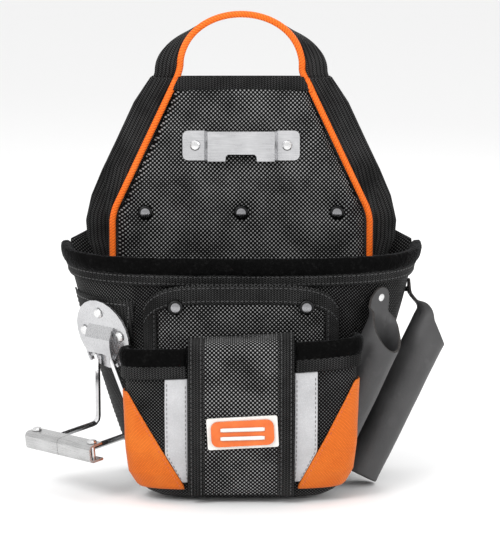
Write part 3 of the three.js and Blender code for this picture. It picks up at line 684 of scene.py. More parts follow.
def corded(name, deep, bright):
    """Twisted or braided cord: slanting strands from the cloth UV."""
    look = Look(name, Specular_IOR_Level=0.22, Sheen_Weight=0.05, Sheen_Roughness=0.4)
    u, v, _ = look.axes(look.cloth_uv())
    lean = look.weigh(u, 100, v, 60)
    strand = look.span(look.math("SINE", look.times(lean, 2 * math.pi / 2.2)), 0, 1, -1, 1)
    place = look.place()
    fine = look.noise(place, 600, 3)
    clouds = look.noise(place, 30, 3)
    # Painted shade: the grooves between strands take the deep tone, strand crests the bright one; fine and
    # clouds add random tone.
    both = look.weigh(strand, 0.7, fine, 0.3)
    base = look.ramp(both, [(0.1, deep), (0.8, bright)])
    colour = look.mix(look.span(clouds, 0, 0.3, 0.5, 0.75), base, (0.95, 0.28, 0.06))
    return look.wire(colour, look.span(both, 0.7, 0.45), both, 0.00022, 0.5)


def thread(name, tone):
    look = Look(name, Specular_IOR_Level=0.45, Sheen_Weight=0.2)
    place = look.place()
    twist = look.noise(place, 900, 3)
    colour = look.ramp(twist, [(0.3, tuple(c * 0.5 for c in tone)), (0.7, tone)])
    return look.wire(colour, look.span(twist, 0.65, 0.42), twist, 0.0001, 0.5)


# In the ballistic and webbing calls the first tone is the cloth's black and the second the painted glint on
# its yarn crests.
FABRIC = ballistic("ballistic_panel", 0.0035, 0.26, pitch=1.5)
FABRIC_FINE = ballistic("ballistic_wall", 0.0025, 0.085, pitch=1.25)
HIP_MESH = ballistic("hip_spacer_mesh", 0.006, 0.06, pitch=1.8)
LINING = ballistic("lining_cloth", 0.006, 0.03, pitch=0.5, sheen=0.1)
WEBBING = webbing("herringbone_tape", 0.004, 0.06)
FINE_WEBBING = webbing("herringbone_binding", 0.004, 0.055, rib=2.1)
FLEECE = plush("black_pile")
ORANGE_CLOTH = coloured_weave("orange_cloth", (0.36, 0.06, 0.004), (0.70, 0.155, 0.012), (0.76, 0.23, 0.03))
ORANGE_CORD = corded("orange_piping", (0.50, 0.07, 0.004), (0.90, 0.17, 0.010))
SILVER_TAPE = reflective("reflective_tape")
LEATHER = leather("black_leather")
LEATHER_EDGE = leather_edge("cut_leather_edge")
STEEL_TONES = ((0.40, 0.40, 0.41), (0.62, 0.62, 0.63))
STEEL = metal("brushed_steel", *STEEL_TONES, brush=(0.05, 1.0, 1.0))
PLATE_STEEL = metal("plate_steel", *STEEL_TONES, rough=(0.18, 0.34), brush=(1.0, 1.0, 0.3))
BRIGHT = metal("bright_wire", (0.60, 0.60, 0.61), (0.86, 0.86, 0.87), rough=(0.12, 0.26))
CHANNEL_STEEL = metal("channel_steel", grey(0.38), grey(0.60), rough=(0.2, 0.36), brush=(0.05, 0.05, 1.0))
CAP_BRUSH = (1.0, 1.0, 0.5)
GUNMETAL = metal("gunmetal_cap", (0.20, 0.20, 0.21), (0.36, 0.36, 0.37), rough=(0.16, 0.28), brush=CAP_BRUSH)
# Near-black metal for the rivet caps' outer ring: painted shade standing for the shadow round each cap.
CAP_SHADE_RING = metal("painted_shade_cap_ring", (0.012, 0.012, 0.013), (0.03, 0.03, 0.03), rough=(0.25, 0.4))
RIVET_STEEL = metal("rivet_steel", grey(0.55), grey(0.82), rough=(0.18, 0.32), brush=CAP_BRUSH)
BADGE_WHITE = moulded("badge_white", (0.66, 0.65, 0.62), (0.74, 0.73, 0.71), coat=0.1)
BADGE_ORANGE = moulded("badge_orange", (0.62, 0.11, 0.008), (0.68, 0.15, 0.02), coat=0.1)
BOARD_TONES = ((0.012, 0.012, 0.013), (0.022, 0.022, 0.023))
BOARD = moulded("stiffener_plastic", *BOARD_TONES, rough=(0.5, 0.65), coat=0.0)
FOAM = moulded("foam_grey", (0.04, 0.04, 0.045), (0.06, 0.06, 0.065), rough=(0.85, 0.95), coat=0.0)
THREAD = thread("black_thread", (0.035, 0.035, 0.036))
GREY_THREAD = thread("grey_thread", (0.10, 0.10, 0.10))
ORANGE_THREAD = thread("orange_thread", (0.75, 0.14, 0.02))


# ---- Back: padded face, foam, wings, rear panels, piping ---------------------
def filleted_slab(name, half_at, z0, z1, y0, y1, nx, nz, material, round_by=2.0):
    """A closed slab whose half width varies with height, with rounded edges all round."""
    depth = y1 - y0
    rings = [(round_by, 0.0), (round_by * 0.3, round_by * 0.3), (0.0, round_by)]
    rings += [(0.0, depth - round_by), (round_by * 0.3, depth - round_by * 0.3), (round_by, depth)]
    verts, faces = [], []

    def outline(inset):
        pts = []
        lo, hi = z0 + inset, z1 - inset
        for i in range(nx):
            pts.append((lerp(-1, 1, i / nx) * (half_at(lo) - inset), lo))
        for j in range(nz):
            z = lerp(lo, hi, j / nz)
            pts.append((half_at(z) - inset, z))
        for i in range(nx):
            pts.append((lerp(1, -1, i / nx) * (half_at(hi) - inset), hi))
        for j in range(nz):
            z = lerp(hi, lo, j / nz)
            pts.append((-(half_at(z) - inset), z))
        return pts

    for inset, y in rings:
        verts += [(x, y0 + y, z) for x, z in outline(inset)]
    count = 2 * (nx + nz)
    for k in range(len(rings) - 1):
        for m in range(count):
            a, b = k * count + m, k * count + (m + 1) % count
            faces.append((a, b, b + count, a + count))
    for ring, flip in ((0, True), (len(rings) - 1, False)):
        index = {}
        for i in range(nx + 1):
            for j in range(nz + 1):
                if j == 0:
                    index[i, j] = ring * count + i
                elif i == nx:
                    index[i, j] = ring * count + nx + j
                elif j == nz:
                    index[i, j] = ring * count + 2 * nx + nz - i
                elif i == 0:
                    index[i, j] = ring * count + (2 * nx + 2 * nz - j) % count
                else:
                    inset, y = rings[ring]
                    z = lerp(z0 + inset, z1 - inset, j / nz)
                    x = lerp(-1, 1, i / nx) * (half_at(z) - inset)
                    index[i, j] = len(verts)
                    verts.append((x, y0 + y, z))
        for i in range(nx):
            for j in range(nz):
                quad = (index[i, j], index[i + 1, j], index[i + 1, j + 1], index[i, j + 1])
                faces.append(quad if flip else quad[::-1])
    return make_object(name, verts, faces, material)


def mesh_points(obj):
    co = np.zeros(len(obj.data.vertices) * 3)
    obj.data.vertices.foreach_get("co", co)
    return co.reshape(-1, 3) / MM


def mesh_normals(obj):
    n = np.zeros(len(obj.data.vertices) * 3, np.float32)
    obj.data.vertices.foreach_get("normal", n)
    return n.reshape(-1, 3)


def set_points(obj, p):
    obj.data.vertices.foreach_set("co", (np.asarray(p) * MM).ravel())
    obj.data.update()


def flat_uv(obj):
    """A cloth UV from the piece's x and z, for padding that faces the front or the back."""
    p = mesh_points(obj)
    loops = np.zeros(len(obj.data.loops), np.int32)
    obj.data.loops.foreach_get("vertex_index", loops)
    while obj.data.uv_layers:
        obj.data.uv_layers.remove(obj.data.uv_layers[0])
    layer = obj.data.uv_layers.new(name="cloth")
    side = p[:, 0] + 0.55 * (p[:, 1] - p[:, 1].mean())
    flat = np.stack([side, p[:, 2]], axis=1)[loops] * MM * 10
    layer.data.foreach_set("uv", flat.astype(np.float32).ravel())


PAD_PRESSURE = 4.0
PAD_FRAMES = 14


def inflate(obj, cap, voxel):
    """Smooths a closed pad and swells it by cloth simulation, each point moving at most cap millimetres."""
    remesh = obj.modifiers.new("remesh", "REMESH")
    remesh.mode = "VOXEL"
    remesh.voxel_size = voxel * MM
    relax = obj.modifiers.new("relax", "SMOOTH")
    relax.factor = 0.5
    relax.iterations = 4
    apply_modifiers(obj)
    start = mesh_points(obj)
    cloth_mod = obj.modifiers.new("cloth", "CLOTH")
    settings = cloth_mod.settings
    settings.quality = 6
    settings.mass = 0.3
    settings.tension_stiffness = settings.compression_stiffness = 25
    settings.shear_stiffness = 15
    settings.bending_stiffness = 4
    settings.use_pressure = True
    settings.uniform_pressure_force = PAD_PRESSURE
    settings.effector_weights.gravity = 0
    cloth_mod.collision_settings.use_collision = False
    cloth_mod.point_cache.frame_start = 1
    cloth_mod.point_cache.frame_end = PAD_FRAMES
    scene = bpy.context.scene
    for f in range(1, PAD_FRAMES + 1):
        scene.frame_set(f)
        bpy.context.view_layer.update()
    apply_modifiers(obj)
    scene.frame_set(1)
    moved = mesh_points(obj)
    step = moved - start
    size = np.linalg.norm(step, axis=1, keepdims=True)
    set_points(obj, start + step * np.minimum(1, cap / np.maximum(size, 1e-9)))
    subdivide(obj, 1)


def apply_modifiers(obj):
    shown = obj.evaluated_get(bpy.context.evaluated_depsgraph_get())
    mesh = bpy.data.meshes.new_from_object(shown)
    materials = list(obj.data.materials)
    obj.modifiers.clear()
    obj.data = mesh
    mesh.name = obj.name
    mesh.materials.clear()
    for m in materials:
        mesh.materials.append(m)
    mesh.polygons.foreach_set("use_smooth", [True] * len(mesh.polygons))


def subdivide(obj, levels):
    sub = obj.modifiers.new("subdivision", "SUBSURF")
    sub.levels = sub.render_levels = levels
    apply_modifiers(obj)


def face_dimples(x, z):
    """How deep the face is pulled in by its rivets, with seven soft creases round each."""
    depth = 0.0
    for rx, rz in BACK_RIVETS:
        r = math.hypot(x - rx, z - rz)
        depth += 2.6 * math.exp(-(r / 6.5) ** 2) + 0.9 * math.exp(-(r / 17) ** 2)
        angle = math.atan2(z - rz, x - rx)
        depth += 0.75 * math.cos(7 * angle + rx) * math.exp(-((r - 13) / 8) ** 2)
    return depth


def face_cover():
    """The padded front of the back: swelled, dimpled at its rivets and pulled tight at its edges."""
    foremost = 26.8
    ends = (FACE_LOW_Z, FACE_TOP_Z)
    pad = filleted_slab("face_cover", lambda z: face_half(z) + 0.5, *ends, 28.6, 32.9, 34, 50, FABRIC, 1.2)
    inflate(pad, 3.0, 2.4)
    p = mesh_points(pad)
    out = p.copy()
    for k in np.nonzero(mesh_normals(pad)[:, 1] < -0.25)[0]:
        x, y, z = p[k]
        depth = face_dimples(x, z)
        edge = face_half(z) - abs(x)
        depth += 1.1 * math.exp(-(edge / 5.0) ** 2)
        depth += 0.35 * ripple((x, 0, z), 34, 2.0)
        depth -= 0.9 * bump(z, 232, 60) * bump(x, 0, 70)
        clip = smooth((58 - abs(x)) / 14) * smooth((24 - abs(z - CLIP_Z)) / 12)
        rivets = max(math.exp(-((math.hypot(x - rx, z - rz) / 6) ** 2)) for rx, rz in BACK_RIVETS)
        under_metal = max(lerp(foremost, 28.3, clip), lerp(foremost, 29.6, rivets))
        out[k, 1] = min(max(y + depth, under_metal), 31.9)
    out[:, 1] = np.clip(out[:, 1], foremost, 33.1)
    out[:, 0] = np.clip(out[:, 0], -FACE_HALF - 1, FACE_HALF + 1)
    set_points(pad, out)
    flat_uv(pad)
    finish_piece(pad, "pouch", "ballistic_fabric", "back_face")


face_cover()


def stiffener_half(z):
    return min(rear_half(z), 92) - 1.0 if z < SHOULDER_Z else face_half(z) - 2.0


def foam_half(z):
    return face_half(z) - 0.5


foam = filleted_slab("back_foam_layer", foam_half, FACE_LOW_Z, FACE_TOP_Z, 33.4, 39.5, 20, 30, FOAM, 1.5)
finish_piece(foam, "pouch", "foam", "back_foam")
board = filleted_slab("stiffener_sheet", stiffener_half, FACE_LOW_Z, 286, 42.8, 44.2, 20, 30, BOARD, 0.5)
finish_piece(board, "pouch", "stiffener_board", "back_stiffener")


def wing(side, sign):
    """One side gusset of the back: two overlapping layers of broad herringbone tape, and a rear layer."""
    name = f"wing_tape_{side}"

    def layer(label, top, outer, inner, lift, puff):
        def at(u, v):
            z = lerp(top, WING_LOW_Z, v)
            across = u if sign > 0 else 1 - u
            x = lerp(inner(z), outer(z), across)
            belly = math.sin(math.pi * across) ** 0.6 * puff
            fold = 0.55 * ripple((x * 2.2, z * 0.6, lift), 15, 4.4)
            return np.array((sign * x, 36.0 - lift - belly - fold, z))
        return cloth(label, at, 16, 64, 1.6, WEBBING)

    def rear(u, v):
        z = lerp(WING_LOW_Z, WING_TOP_Z, v)
        x = lerp(face_half(z) - 6, wing_half(z) - 0.6, u if sign > 0 else 1 - u)
        return np.array((sign * x, 38.6, z))

    def upper_edge(z):
        return wing_half(z) if z > 224 else wing_half(224) - (224 - z) * 0.02

    def lower_edge(z):
        return wing_half(z) - 0.3 * (z > 226)

    parts = [
        layer(name, WING_TOP_Z, upper_edge, lambda z: face_half(z) - 5, 0.6, 3.6),
        layer(name + "_low", 232.0, lower_edge, lambda z: face_half(z) + 1.0, -1.6, 2.6),
        cloth(name + "_rear", rear, 12, 60, 1.6, WEBBING),
    ]
    finish_piece(join_meshes(name, parts), "pouch", "herringbone_webbing", f"wing_{side}")


for side, sign in SIDES.items():
    wing(side, sign)


def rear_panel():
    """The pocket's rear wall: one cloth panel sewn round the stiffener, its edge turned."""
    def at(u, v):
        z = lerp(WING_TOP_Z, 1.0, v)
        x = lerp(rear_half(z) - 0.3, -rear_half(z) + 0.3, u)
        return np.array((x, 42.0 - 0.25 * ripple((x, 0, z), 30, 1.2), z))
    piece = cloth("rear_wall", at, 60, 90, 1.5, FABRIC_FINE)
    finish_piece(piece, "pouch", "ballistic_fabric", "back_rear_panel")


rear_panel()


def hip_panel():
    """The panel that lies on the wearer's hip: spacer mesh quilted over foam in vertical channels."""
    low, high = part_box("back_hip_panel")
    z0, z1 = low[2] / MM + 1, high[2] / MM - 1
    pad = filleted_slab("hip_pad", lambda z: rear_half(z) - 1.2, z0, z1, 45.0, 50.0, 34, 50, HIP_MESH, 1.5)
    inflate(pad, 3.5, 2.6)
    p = mesh_points(pad)
    out = p.copy()
    for k in np.nonzero(mesh_normals(pad)[:, 1] > 0.25)[0]:
        x, y, z = p[k]
        depth = 0.0
        for channel in (-66, -33, 0, 33, 66):
            depth += 2.2 * math.exp(-((x - channel) / 2.6) ** 2) * smooth((z - z0 - 8) / 12)
        depth += 0.3 * ripple((x, 0, z), 26, 6.0)
        under_loop = smooth((84 - abs(x)) / 10) * smooth((z - 166) / 8)
        out[k, 1] = min(max(y - depth, 46.4), lerp(52.4, 50.4, under_loop))
    out[:, 1] = np.clip(out[:, 1], 44.7, 52.6)
    set_points(pad, out)
    flat_uv(pad)
    finish_piece(pad, "pouch", "hip_fabric", "back_hip_panel")


hip_panel()


def belt_tunnel():
    """The webbing loop that a belt passes through, sewn across the back above and below."""
    line = [(51.6, 179), (51.5, 186), (51.6, 193), (52.2, 198), (55.0, 202), (58.0, 206), (59.2, 212),
            (59.6, 226), (59.6, 238), (59.3, 250), (58.2, 257), (55.0, 262), (52.2, 266), (51.6, 270),
            (51.5, 277)]
    steps = 59
    line = spline([(0, y, z) for y, z in line], steps + 1)

    def at(u, v):
        q = line[int(round(v * steps))]
        x = lerp(69.6, -69.6, u)
        return np.array((x, q[1] + 0.25 * ripple((x, q[1], q[2]), 20, 7.7), q[2]))
    piece = cloth("belt_tunnel_web", at, 40, steps, 2.0, WEBBING, lift=-1.9)
    finish_piece(piece, "pouch", "herringbone_webbing", "belt_loop")
    rows = seam_rows("belt_tunnel_web", (0.035, 0.085, 0.88, 0.965), (0.03, 0.97))
    sew("belt_tunnel_stitches", rows, GREY_THREAD, "herringbone_webbing")


belt_tunnel()


def top_hem():
    """The binding over the back's top edge."""
    def at(u, v):
        z = 279.8 + 9.2 * v
        x = lerp(-1, 1, u) * (face_half(z) + 1.0)
        crown = 0.8 * math.sin(math.pi * v)
        return np.array((x, 27.6 - crown, z))
    piece = cloth("top_hem_tape", at, 50, 8, 1.4, FINE_WEBBING, lift=0.2)
    finish_piece(piece, "pouch", "herringbone_webbing", "back_top_hem")


top_hem()


def piping(side, sign):
    """Sewn piping along the padded face: a filled cloth tube whose seam allowance is caught in the seam."""
    points = []
    for k in range(121):
        z = lerp(30, FACE_TOP_Z, k / 120)
        edge = (face_half(z - 5) + face_half(z) + face_half(z + 5)) / 3 if z < 280 else face_half(z)
        points.append((sign * (edge + PIPING_STAND), PIPING_Y + 0.25 * ripple((0, 0, z), 22, sign), z))
    piece = cord(f"face_piping_{side}", points, PIPING_R, ORANGE_CORD)
    finish_piece(piece, "pouch", "orange_cord", f"piping_{side}")


for side, sign in SIDES.items():
    piping(side, sign)


# ---- Main pocket -------------------------------------------------------------
def wall_sag(phi, z):
    """How far the main wall stands out (+) or sinks (-): soft folds that are strongest near the floor."""
    p = main_point(phi, z)
    low = smooth((70 - z) / 60)
    sag = 0.55 * ripple(p, 38, 1.0) + 0.35 * low * ripple(p, 15, 2.5)
    sag += 0.45 * math.sin(phi * 26 + z / 16) * smooth((22 - z) / 18) * smooth(z / 4)
    return sag * smooth(z / 6) * smooth((RIM_Z - 6 - z) / 10)


def main_wall():
    """The main pocket's curved wall and turned-under bottom, from the left back seam round to the right."""
    seam = 0.012
    floor_share = 0.12

    def skin(floor_z, floor_off, floor_height, wall_point):
        """A surface that runs out across the floor for floor_share of v, and then up the wall."""
        def at(u, v):
            phi = lerp(math.pi - seam, seam, u)
            if v < floor_share:
                share = v / floor_share
                edge = main_point(phi, floor_z, floor_off)
                hub = np.array((0, BACK_Y - 12, 0.0))
                return hub + (edge - hub) * np.array((share, share, 0)) + np.array((0, 0, floor_height))
            return wall_point(phi, RIM_Z * ((v - floor_share) / 0.88))
        return at

    def outside(phi, z):
        round_in = 2.4 * (1 - smooth(z / 5.0))
        return main_point(phi, z, -round_in + wall_sag(phi, z))

    def inside(phi, z):
        z = max(z, 2.6)
        return main_point(phi, min(z, RIM_Z), -2.0 + wall_sag(phi, z))

    outer, inner = skin(0.6, -2.4, 0.35, outside), skin(2.0, -4.6, 2.3, inside)
    piece = bag_shell("main_bag", outer, inner, 150, 72, FABRIC_FINE)
    finish_piece(piece, "pouch", "ballistic_fabric", "main_pocket")


main_wall()


def main_inside():
    """The main pocket's lining, just inside its wall."""
    def at(u, v):
        phi = lerp(0.03, math.pi - 0.03, u)
        z = lerp(156, 9, v)
        return main_point(phi, z, -5.6)
    piece = cloth("main_lining_cloth", at, 60, 30, 0.9, LINING, lift=-0.1)
    finish_piece(piece, "pouch", "lining_fabric", "main_lining")


main_inside()


def rolled_edge(name, node, point_at, count, height, inside, outside, base_z, lumps):
    """A fleece-wrapped rim: a fat roll of pile over the bag's edge. point_at(t, z, off) walks the rim."""
    profile = []
    half, middle = (outside - inside) / 2, (inside + outside) / 2
    for k in range(20):
        a = 2 * math.pi * k / 20
        c, s = math.cos(a), math.sin(a)
        across, up = math.copysign(abs(c) ** 0.75, c), math.copysign(abs(s) ** 0.8, s)
        profile.append((half * across, height / 2 * up))
    centres, ups, outs = [], [], []
    for k in range(count + 1):
        t = k / count
        low, high = point_at(t, base_z, middle), point_at(t, base_z + height, middle)
        out = point_at(t, base_z + height / 2, middle + 1) - point_at(t, base_z + height / 2, middle)
        centres.append((low + high) / 2)
        ups.append((high - low) / np.linalg.norm(high - low))
        outs.append(out / np.linalg.norm(out))
    piece = sweep(name, centres, ups, outs, profile, FLEECE, fuzz=0.42, grain=1.5, lumps=lumps)
    finish_piece(piece, "pouch", "fleece", node)


def main_rim(t, z, off):
    return main_point(lerp(0.045, math.pi - 0.045, t), z, off)


rolled_edge("main_rim_pile", "main_fleece", main_rim, 420, FLEECE_H + 1.8, -4.2, 4.4, RIM_Z - 0.6, 0.5)


def main_tape():
    """The herringbone binding below the rim, with its two rows of stitches."""
    def at(u, v):
        phi = lerp(math.pi - 0.02, 0.02, u)
        z = lerp(150.2, 158.2, v)
        return main_point(phi, z, 2.2 + 0.25 * math.sin(math.pi * v))
    piece = cloth("main_rim_tape", at, 150, 6, 1.3, FINE_WEBBING)
    finish_piece(piece, "pouch", "herringbone_webbing", "main_binding")
    rows = seam_rows("main_rim_tape", (0.2, 0.82), trim=0)
    sew("main_rim_stitches", rows, THREAD, "herringbone_webbing", r=0.38)


main_tape()


def main_seams():
    """Double stitching up the wall beside the back seam and a row round the floor's edge."""
    rows = seam_rows("main_bag", (0.155,), trim=2)
    rows += [(p[12:66], n[12:66]) for p, n in seam_rows("main_bag", us=(0.012, 0.022, 0.978, 0.988), trim=0)]
    sew("main_bag_stitches", rows, THREAD, "ballistic_fabric", pitch=3.6, r=0.38)


main_seams()


# ---- Middle pocket -----------------------------------------------------------
MIDDLE_HALF = 69.0
MIDDLE_LOW = 30.0
MIDDLE_RIVET_X = 46
MIDDLE_RIVET_Z = 137


def middle_top(x):
    share = min(abs(x) / 70.5, 1)
    return 118 + 35 * (1 - share**4) ** (1 / 3)


def middle_point(x, z, off):
    bulge = 9.5 * (1 - (abs(x) / MIDDLE_HALF) ** 4) * smooth((z - MIDDLE_LOW) / 50)
    return np.array((x, main_front_y(x, z) - 0.7 - bulge - off, z))


def middle_wave(x, z):
    wave = 0.5 * ripple((x, 0, z), 24, 3.0)
    for rx in (-MIDDLE_RIVET_X, MIDDLE_RIVET_X):
        wave -= 0.9 * math.exp(-(math.hypot(x - rx, z - MIDDLE_RIVET_Z) / 7) ** 2)
    return wave


def middle_panel():
    def at(off):
        def fn(u, v):
            x = lerp(-MIDDLE_HALF + 0.3, MIDDLE_HALF - 0.3, u)
            z = lerp(MIDDLE_LOW + 0.5, middle_top(x) - 0.4, v)
            return middle_point(x, z, off + middle_wave(x, z) * smooth((MIDDLE_HALF - abs(x)) / 8))
        return fn
    piece = bag_shell("middle_bag", at(1.7), at(0.0), 60, 50, FABRIC)
    finish_piece(piece, "pouch", "ballistic_fabric", "middle_pocket")


middle_panel()


def middle_tape():
    """The binding: an arch over the top edge running down into bands at both sides."""
    def arch(u, v):
        x = lerp(-68.8, 68.8, 0.5 - 0.5 * math.cos(math.pi * u))
        z = middle_top(x) - 13.2 * (1 - v)
        return middle_point(x, z, 3.1 + 0.2 * math.sin(math.pi * v) + middle_wave(x, z) * 0.6)

    def side(sign):
        def fn(u, v):
            x = sign * lerp(59.4, 68.9, u if sign > 0 else 1 - u)
            z = lerp(76.5, middle_top(x) - 9.0, v)
            return middle_point(x, z, 3.0 + 0.2 * math.sin(math.pi * u))
        return fn

    parts = [cloth("middle_tape", arch, 90, 8, 1.3, FINE_WEBBING)]
    parts.append(cloth("middle_tape_r", side(1), 8, 30, 1.2, FINE_WEBBING))
    parts.append(cloth("middle_tape_l", side(-1), 8, 30, 1.2, FINE_WEBBING))
    finish_piece(join_meshes("middle_tape", parts), "pouch", "herringbone_webbing", "middle_binding")
    rows = seam_rows("middle_tape", (0.14, 0.86), trim=0)
    rows += seam_rows("middle_tape_r", us=(0.2,), trim=0) + seam_rows("middle_tape_l", us=(0.8,), trim=0)
    sew("middle_tape_stitches", rows, THREAD, "herringbone_webbing", r=0.38)


middle_tape()


# ---- Front pocket ------------------------------------------------------------
# The outline at each height: half width, then the y of its front, its widest line and its rear.
HALF_AT = [(2, 58), (6, 66), (12, 72), (22, 77), (40, 79), (70, 80), (125, 82)]
FRONT_AT = [(2, -60), (6, -65), (12, -69), (22, -73), (40, -77), (70, -80.5), (125, -83)]
CENTRE_AT = [(2, -42), (6, -44), (12, -47), (22, -53), (40, -62), (70, -63), (125, -64)]
REAR_AT = [(2, -20), (6, -21), (12, -23), (22, -30), (40, -49), (70, -51), (125, -53)]


def along(table, z):
    return float(np.interp(z, [q[0] for q in table], [q[1] for q in table]))


def front_lift(x, z):
    """How much higher the front pocket stands at x, because its rim slopes."""
    return FRONT_SLOPE * x * clamp01(z / 90)


def front_point(theta, z, off=0.0):
    c, s = math.cos(theta), math.sin(theta)
    centre = along(CENTRE_AT, z)
    reach = centre - along(FRONT_AT, z) + off if s >= 0 else along(REAR_AT, z) - centre + off
    x = (along(HALF_AT, z) + off) * math.copysign(abs(c) ** (2 / 3), c)
    y = centre - reach * math.copysign(abs(s) ** (2 / 3), s)
    return np.array((x, y, z + front_lift(x, z)))


def front_theta(x, z):
    share = min(abs(x) / along(HALF_AT, z), 1)
    return math.acos(math.copysign(share**1.5, x))


def front_wave(theta, z):
    p = front_point(theta, z)
    wave = 0.7 * ripple(p, 22, 9.0) + 0.35 * ripple(p, 11, 4.0)
    return wave * smooth((z - 4) / 10) * smooth((99 - z) / 14)


def ring_thetas(z, count):
    """Theta values evenly spaced by arc length round the whole ring at height z."""
    thetas = np.linspace(-math.pi / 2, 1.5 * math.pi, 721)
    s = arc_lengths(np.array([front_point(t, z) for t in thetas]))
    return np.interp(np.linspace(0, s[-1], count), s, thetas)


def front_bag():
    """The bulging front pocket, with its own rear wall and a rounded bottom that tucks in under it."""
    count = 200
    ring = ring_thetas(70, count + 1)[:-1]
    levels_out = [2.2, 3.2, 4.6, 6.5, 9, 12, 16, 21, 27, 34, 42, 50, 58, 66, 74, 82, 90, 97, 102.6]
    levels_in = [102.6, 97, 88, 78, 66, 54, 44, 34, 25, 17, 10, 5.5, 4.4]
    verts, uvs, faces, rows = [], [], [], []
    for levels, off in ((levels_out, -0.2), (levels_in, -2.1)):
        for z in levels:
            p = np.array([front_point(t, z, off + 0.6 * front_wave(t, z)) for t in ring])
            steps = np.linalg.norm(np.roll(p, -1, axis=0) - p, axis=1)
            travelled = np.concatenate([[0], np.cumsum(steps)[:-1]]) - steps.sum() / 2
            rows.append(range(len(verts), len(verts) + count))
            verts += list(p)
            uvs += [(u, z) for u in travelled]

    def ring_faces(lower, upper, flip):
        for m in range(count):
            a, b = lower[m], lower[(m + 1) % count]
            c, d = upper[(m + 1) % count], upper[m]
            faces.append((b, a, d, c) if flip else (a, b, c, d))

    for lower, upper in zip(rows, rows[1:]):
        ring_faces(lower, upper, False)
    for row, flip in ((rows[0], True), (rows[-1], False)):
        hub_point = np.array([verts[i] for i in row]).mean(axis=0)
        previous = row
        for share in (0.66, 0.33):
            inner_row = range(len(verts), len(verts) + count)
            verts += [hub_point + (verts[i] - hub_point) * share for i in row]
            uvs += [(verts[i][0], verts[i][1]) for i in inner_row]
            ring_faces(previous, inner_row, flip)
            previous = inner_row
        hub = len(verts)
        verts.append(hub_point)
        uvs.append((hub_point[0], hub_point[1]))
        for m in range(count):
            a, b = previous[m], previous[(m + 1) % count]
            faces.append((b, a, hub) if flip else (a, b, hub))
    piece = make_object("front_bag", verts, faces, FABRIC_FINE, uvs)
    finish_piece(piece, "pouch", "ballistic_fabric", "front_pocket")


front_bag()

THETA_CACHE = {}


def theta_by_arc(lo, hi, z, u):
    """Theta a share u of the way along the front surface between two thetas."""
    key = (round(lo, 4), round(hi, 4), round(z, 1))
    if key not in THETA_CACHE:
        thetas = np.linspace(lo, hi, 161)
        s = arc_lengths(np.array([front_point(t, z) for t in thetas]))
        THETA_CACHE[key] = (s / s[-1], thetas)
    shares, thetas = THETA_CACHE[key]
    return float(np.interp(u, shares, thetas))


def orange_inner(z):
    """Half the distance between the orange corners' swept edges at a height."""
    return max(39.0, 41.5 + 0.535 * (z - 17))


def orange_corner(side, sign):
    """The orange corner patch: one padded panel round the pocket's bottom corner with a swept upper edge."""
    name = f"orange_corner_{side}"
    far = -0.10 if sign > 0 else math.pi + 0.10

    def at(u, v):
        u = 1 - u
        z = lerp(10.2, 84.8, v)
        edge = front_theta(sign * (orange_inner(z) + 0.2), z)
        theta = theta_by_arc(far, edge, z, u if sign > 0 else 1 - u)
        puff = 0.5 * math.sin(math.pi * clamp01(u)) ** 0.5
        crease = 0.5 * ripple(front_point(theta, z), 13, 6.3) * math.sin(math.pi * clamp01(v))
        return front_point(theta, z, 1.9 + puff + crease * 0.7)

    piece = cloth(name, at, 44, 50, 1.2, ORANGE_CLOTH)
    finish_piece(piece, "pouch", "orange_fabric", f"corner_panel_{side}")
    rows = seam_rows(name, us=(0.05 if sign > 0 else 0.95,))
    sew(f"orange_corner_stitches_{side}", rows, ORANGE_THREAD, "orange_fabric", r=0.36)


for side, sign in SIDES.items():
    orange_corner(side, sign)


def silver_strip(side, sign):
    """The upright reflective tape between the centre strap and the orange corner."""
    def at(u, v):
        z = lerp(16, 94, v)
        x = sign * lerp(36.9, min(52.0, orange_inner(z) - 0.6), u if sign > 0 else 1 - u)
        theta = front_theta(x, z)
        return front_point(theta, z, 1.5 + 0.3 * front_wave(theta, z))
    piece = cloth(f"silver_strip_{side}", at, 12, 44, 0.7, SILVER_TAPE)
    finish_piece(piece, "pouch", "reflective_tape", f"reflective_tape_{side}")
    rows = seam_rows(f"silver_strip_{side}", us=(0.08, 0.92))
    sew(f"silver_strip_stitches_{side}", rows, GREY_THREAD, "reflective_tape", r=0.28)


for side, sign in SIDES.items():
    silver_strip(side, sign)


def front_rim(side, sign):
    """Fleece and its binding on one side of the centre strap, round to the pocket's rear corner."""
    start = front_theta(sign * 38.2, FRONT_RIM_Z)
    end = -0.28 if sign > 0 else math.pi + 0.28

    def walk(t, z, off):
        return front_point(theta_by_arc(start, end, z, t), z, off)

    def rightwards(t, z, off):
        return walk(1 - t if sign < 0 else t, z, off)

    def tape(u, v):
        return walk(1 - u if sign > 0 else u, lerp(95.2, 103.2, v), 1.7 + 0.2 * math.sin(math.pi * v))

    height, base_z = FRONT_FLEECE_H + 1.4, FRONT_RIM_Z - 0.5
    name, node = f"front_rim_pile_{side}", f"front_fleece_{side}"
    rolled_edge(name, node, rightwards, 150, height, -4.4, 4.0, base_z, 0.4)
    piece = cloth(f"front_rim_tape_{side}", tape, 60, 6, 1.2, FINE_WEBBING)
    finish_piece(piece, "pouch", "herringbone_webbing", f"front_binding_{side}")
    rows = seam_rows(f"front_rim_tape_{side}", (0.2, 0.8), trim=0)
    sew(f"front_rim_stitches_{side}", rows, THREAD, "herringbone_webbing", r=0.36)


for side, sign in SIDES.items():
    front_rim(side, sign)


STRAP_STEPS = 90


def strap_line():
    """The centre strap's outer face, up the pocket's front, over its rim and back to the middle pocket."""
    line = []
    for z in (6.2, 12, 22, 40, 55, 70, 85, 100, 110):
        line.append((along(FRONT_AT, z) - 2.5 - clamp01((22 - z) / 14), z))
    line += [(-81, 115.5), (-76, 117.6), (-68, 118.2), (-59, 117.8), (-51.8, 116.8)]
    return spline([(0, y, z) for y, z in line], STRAP_STEPS + 1)


STRAP = strap_line()


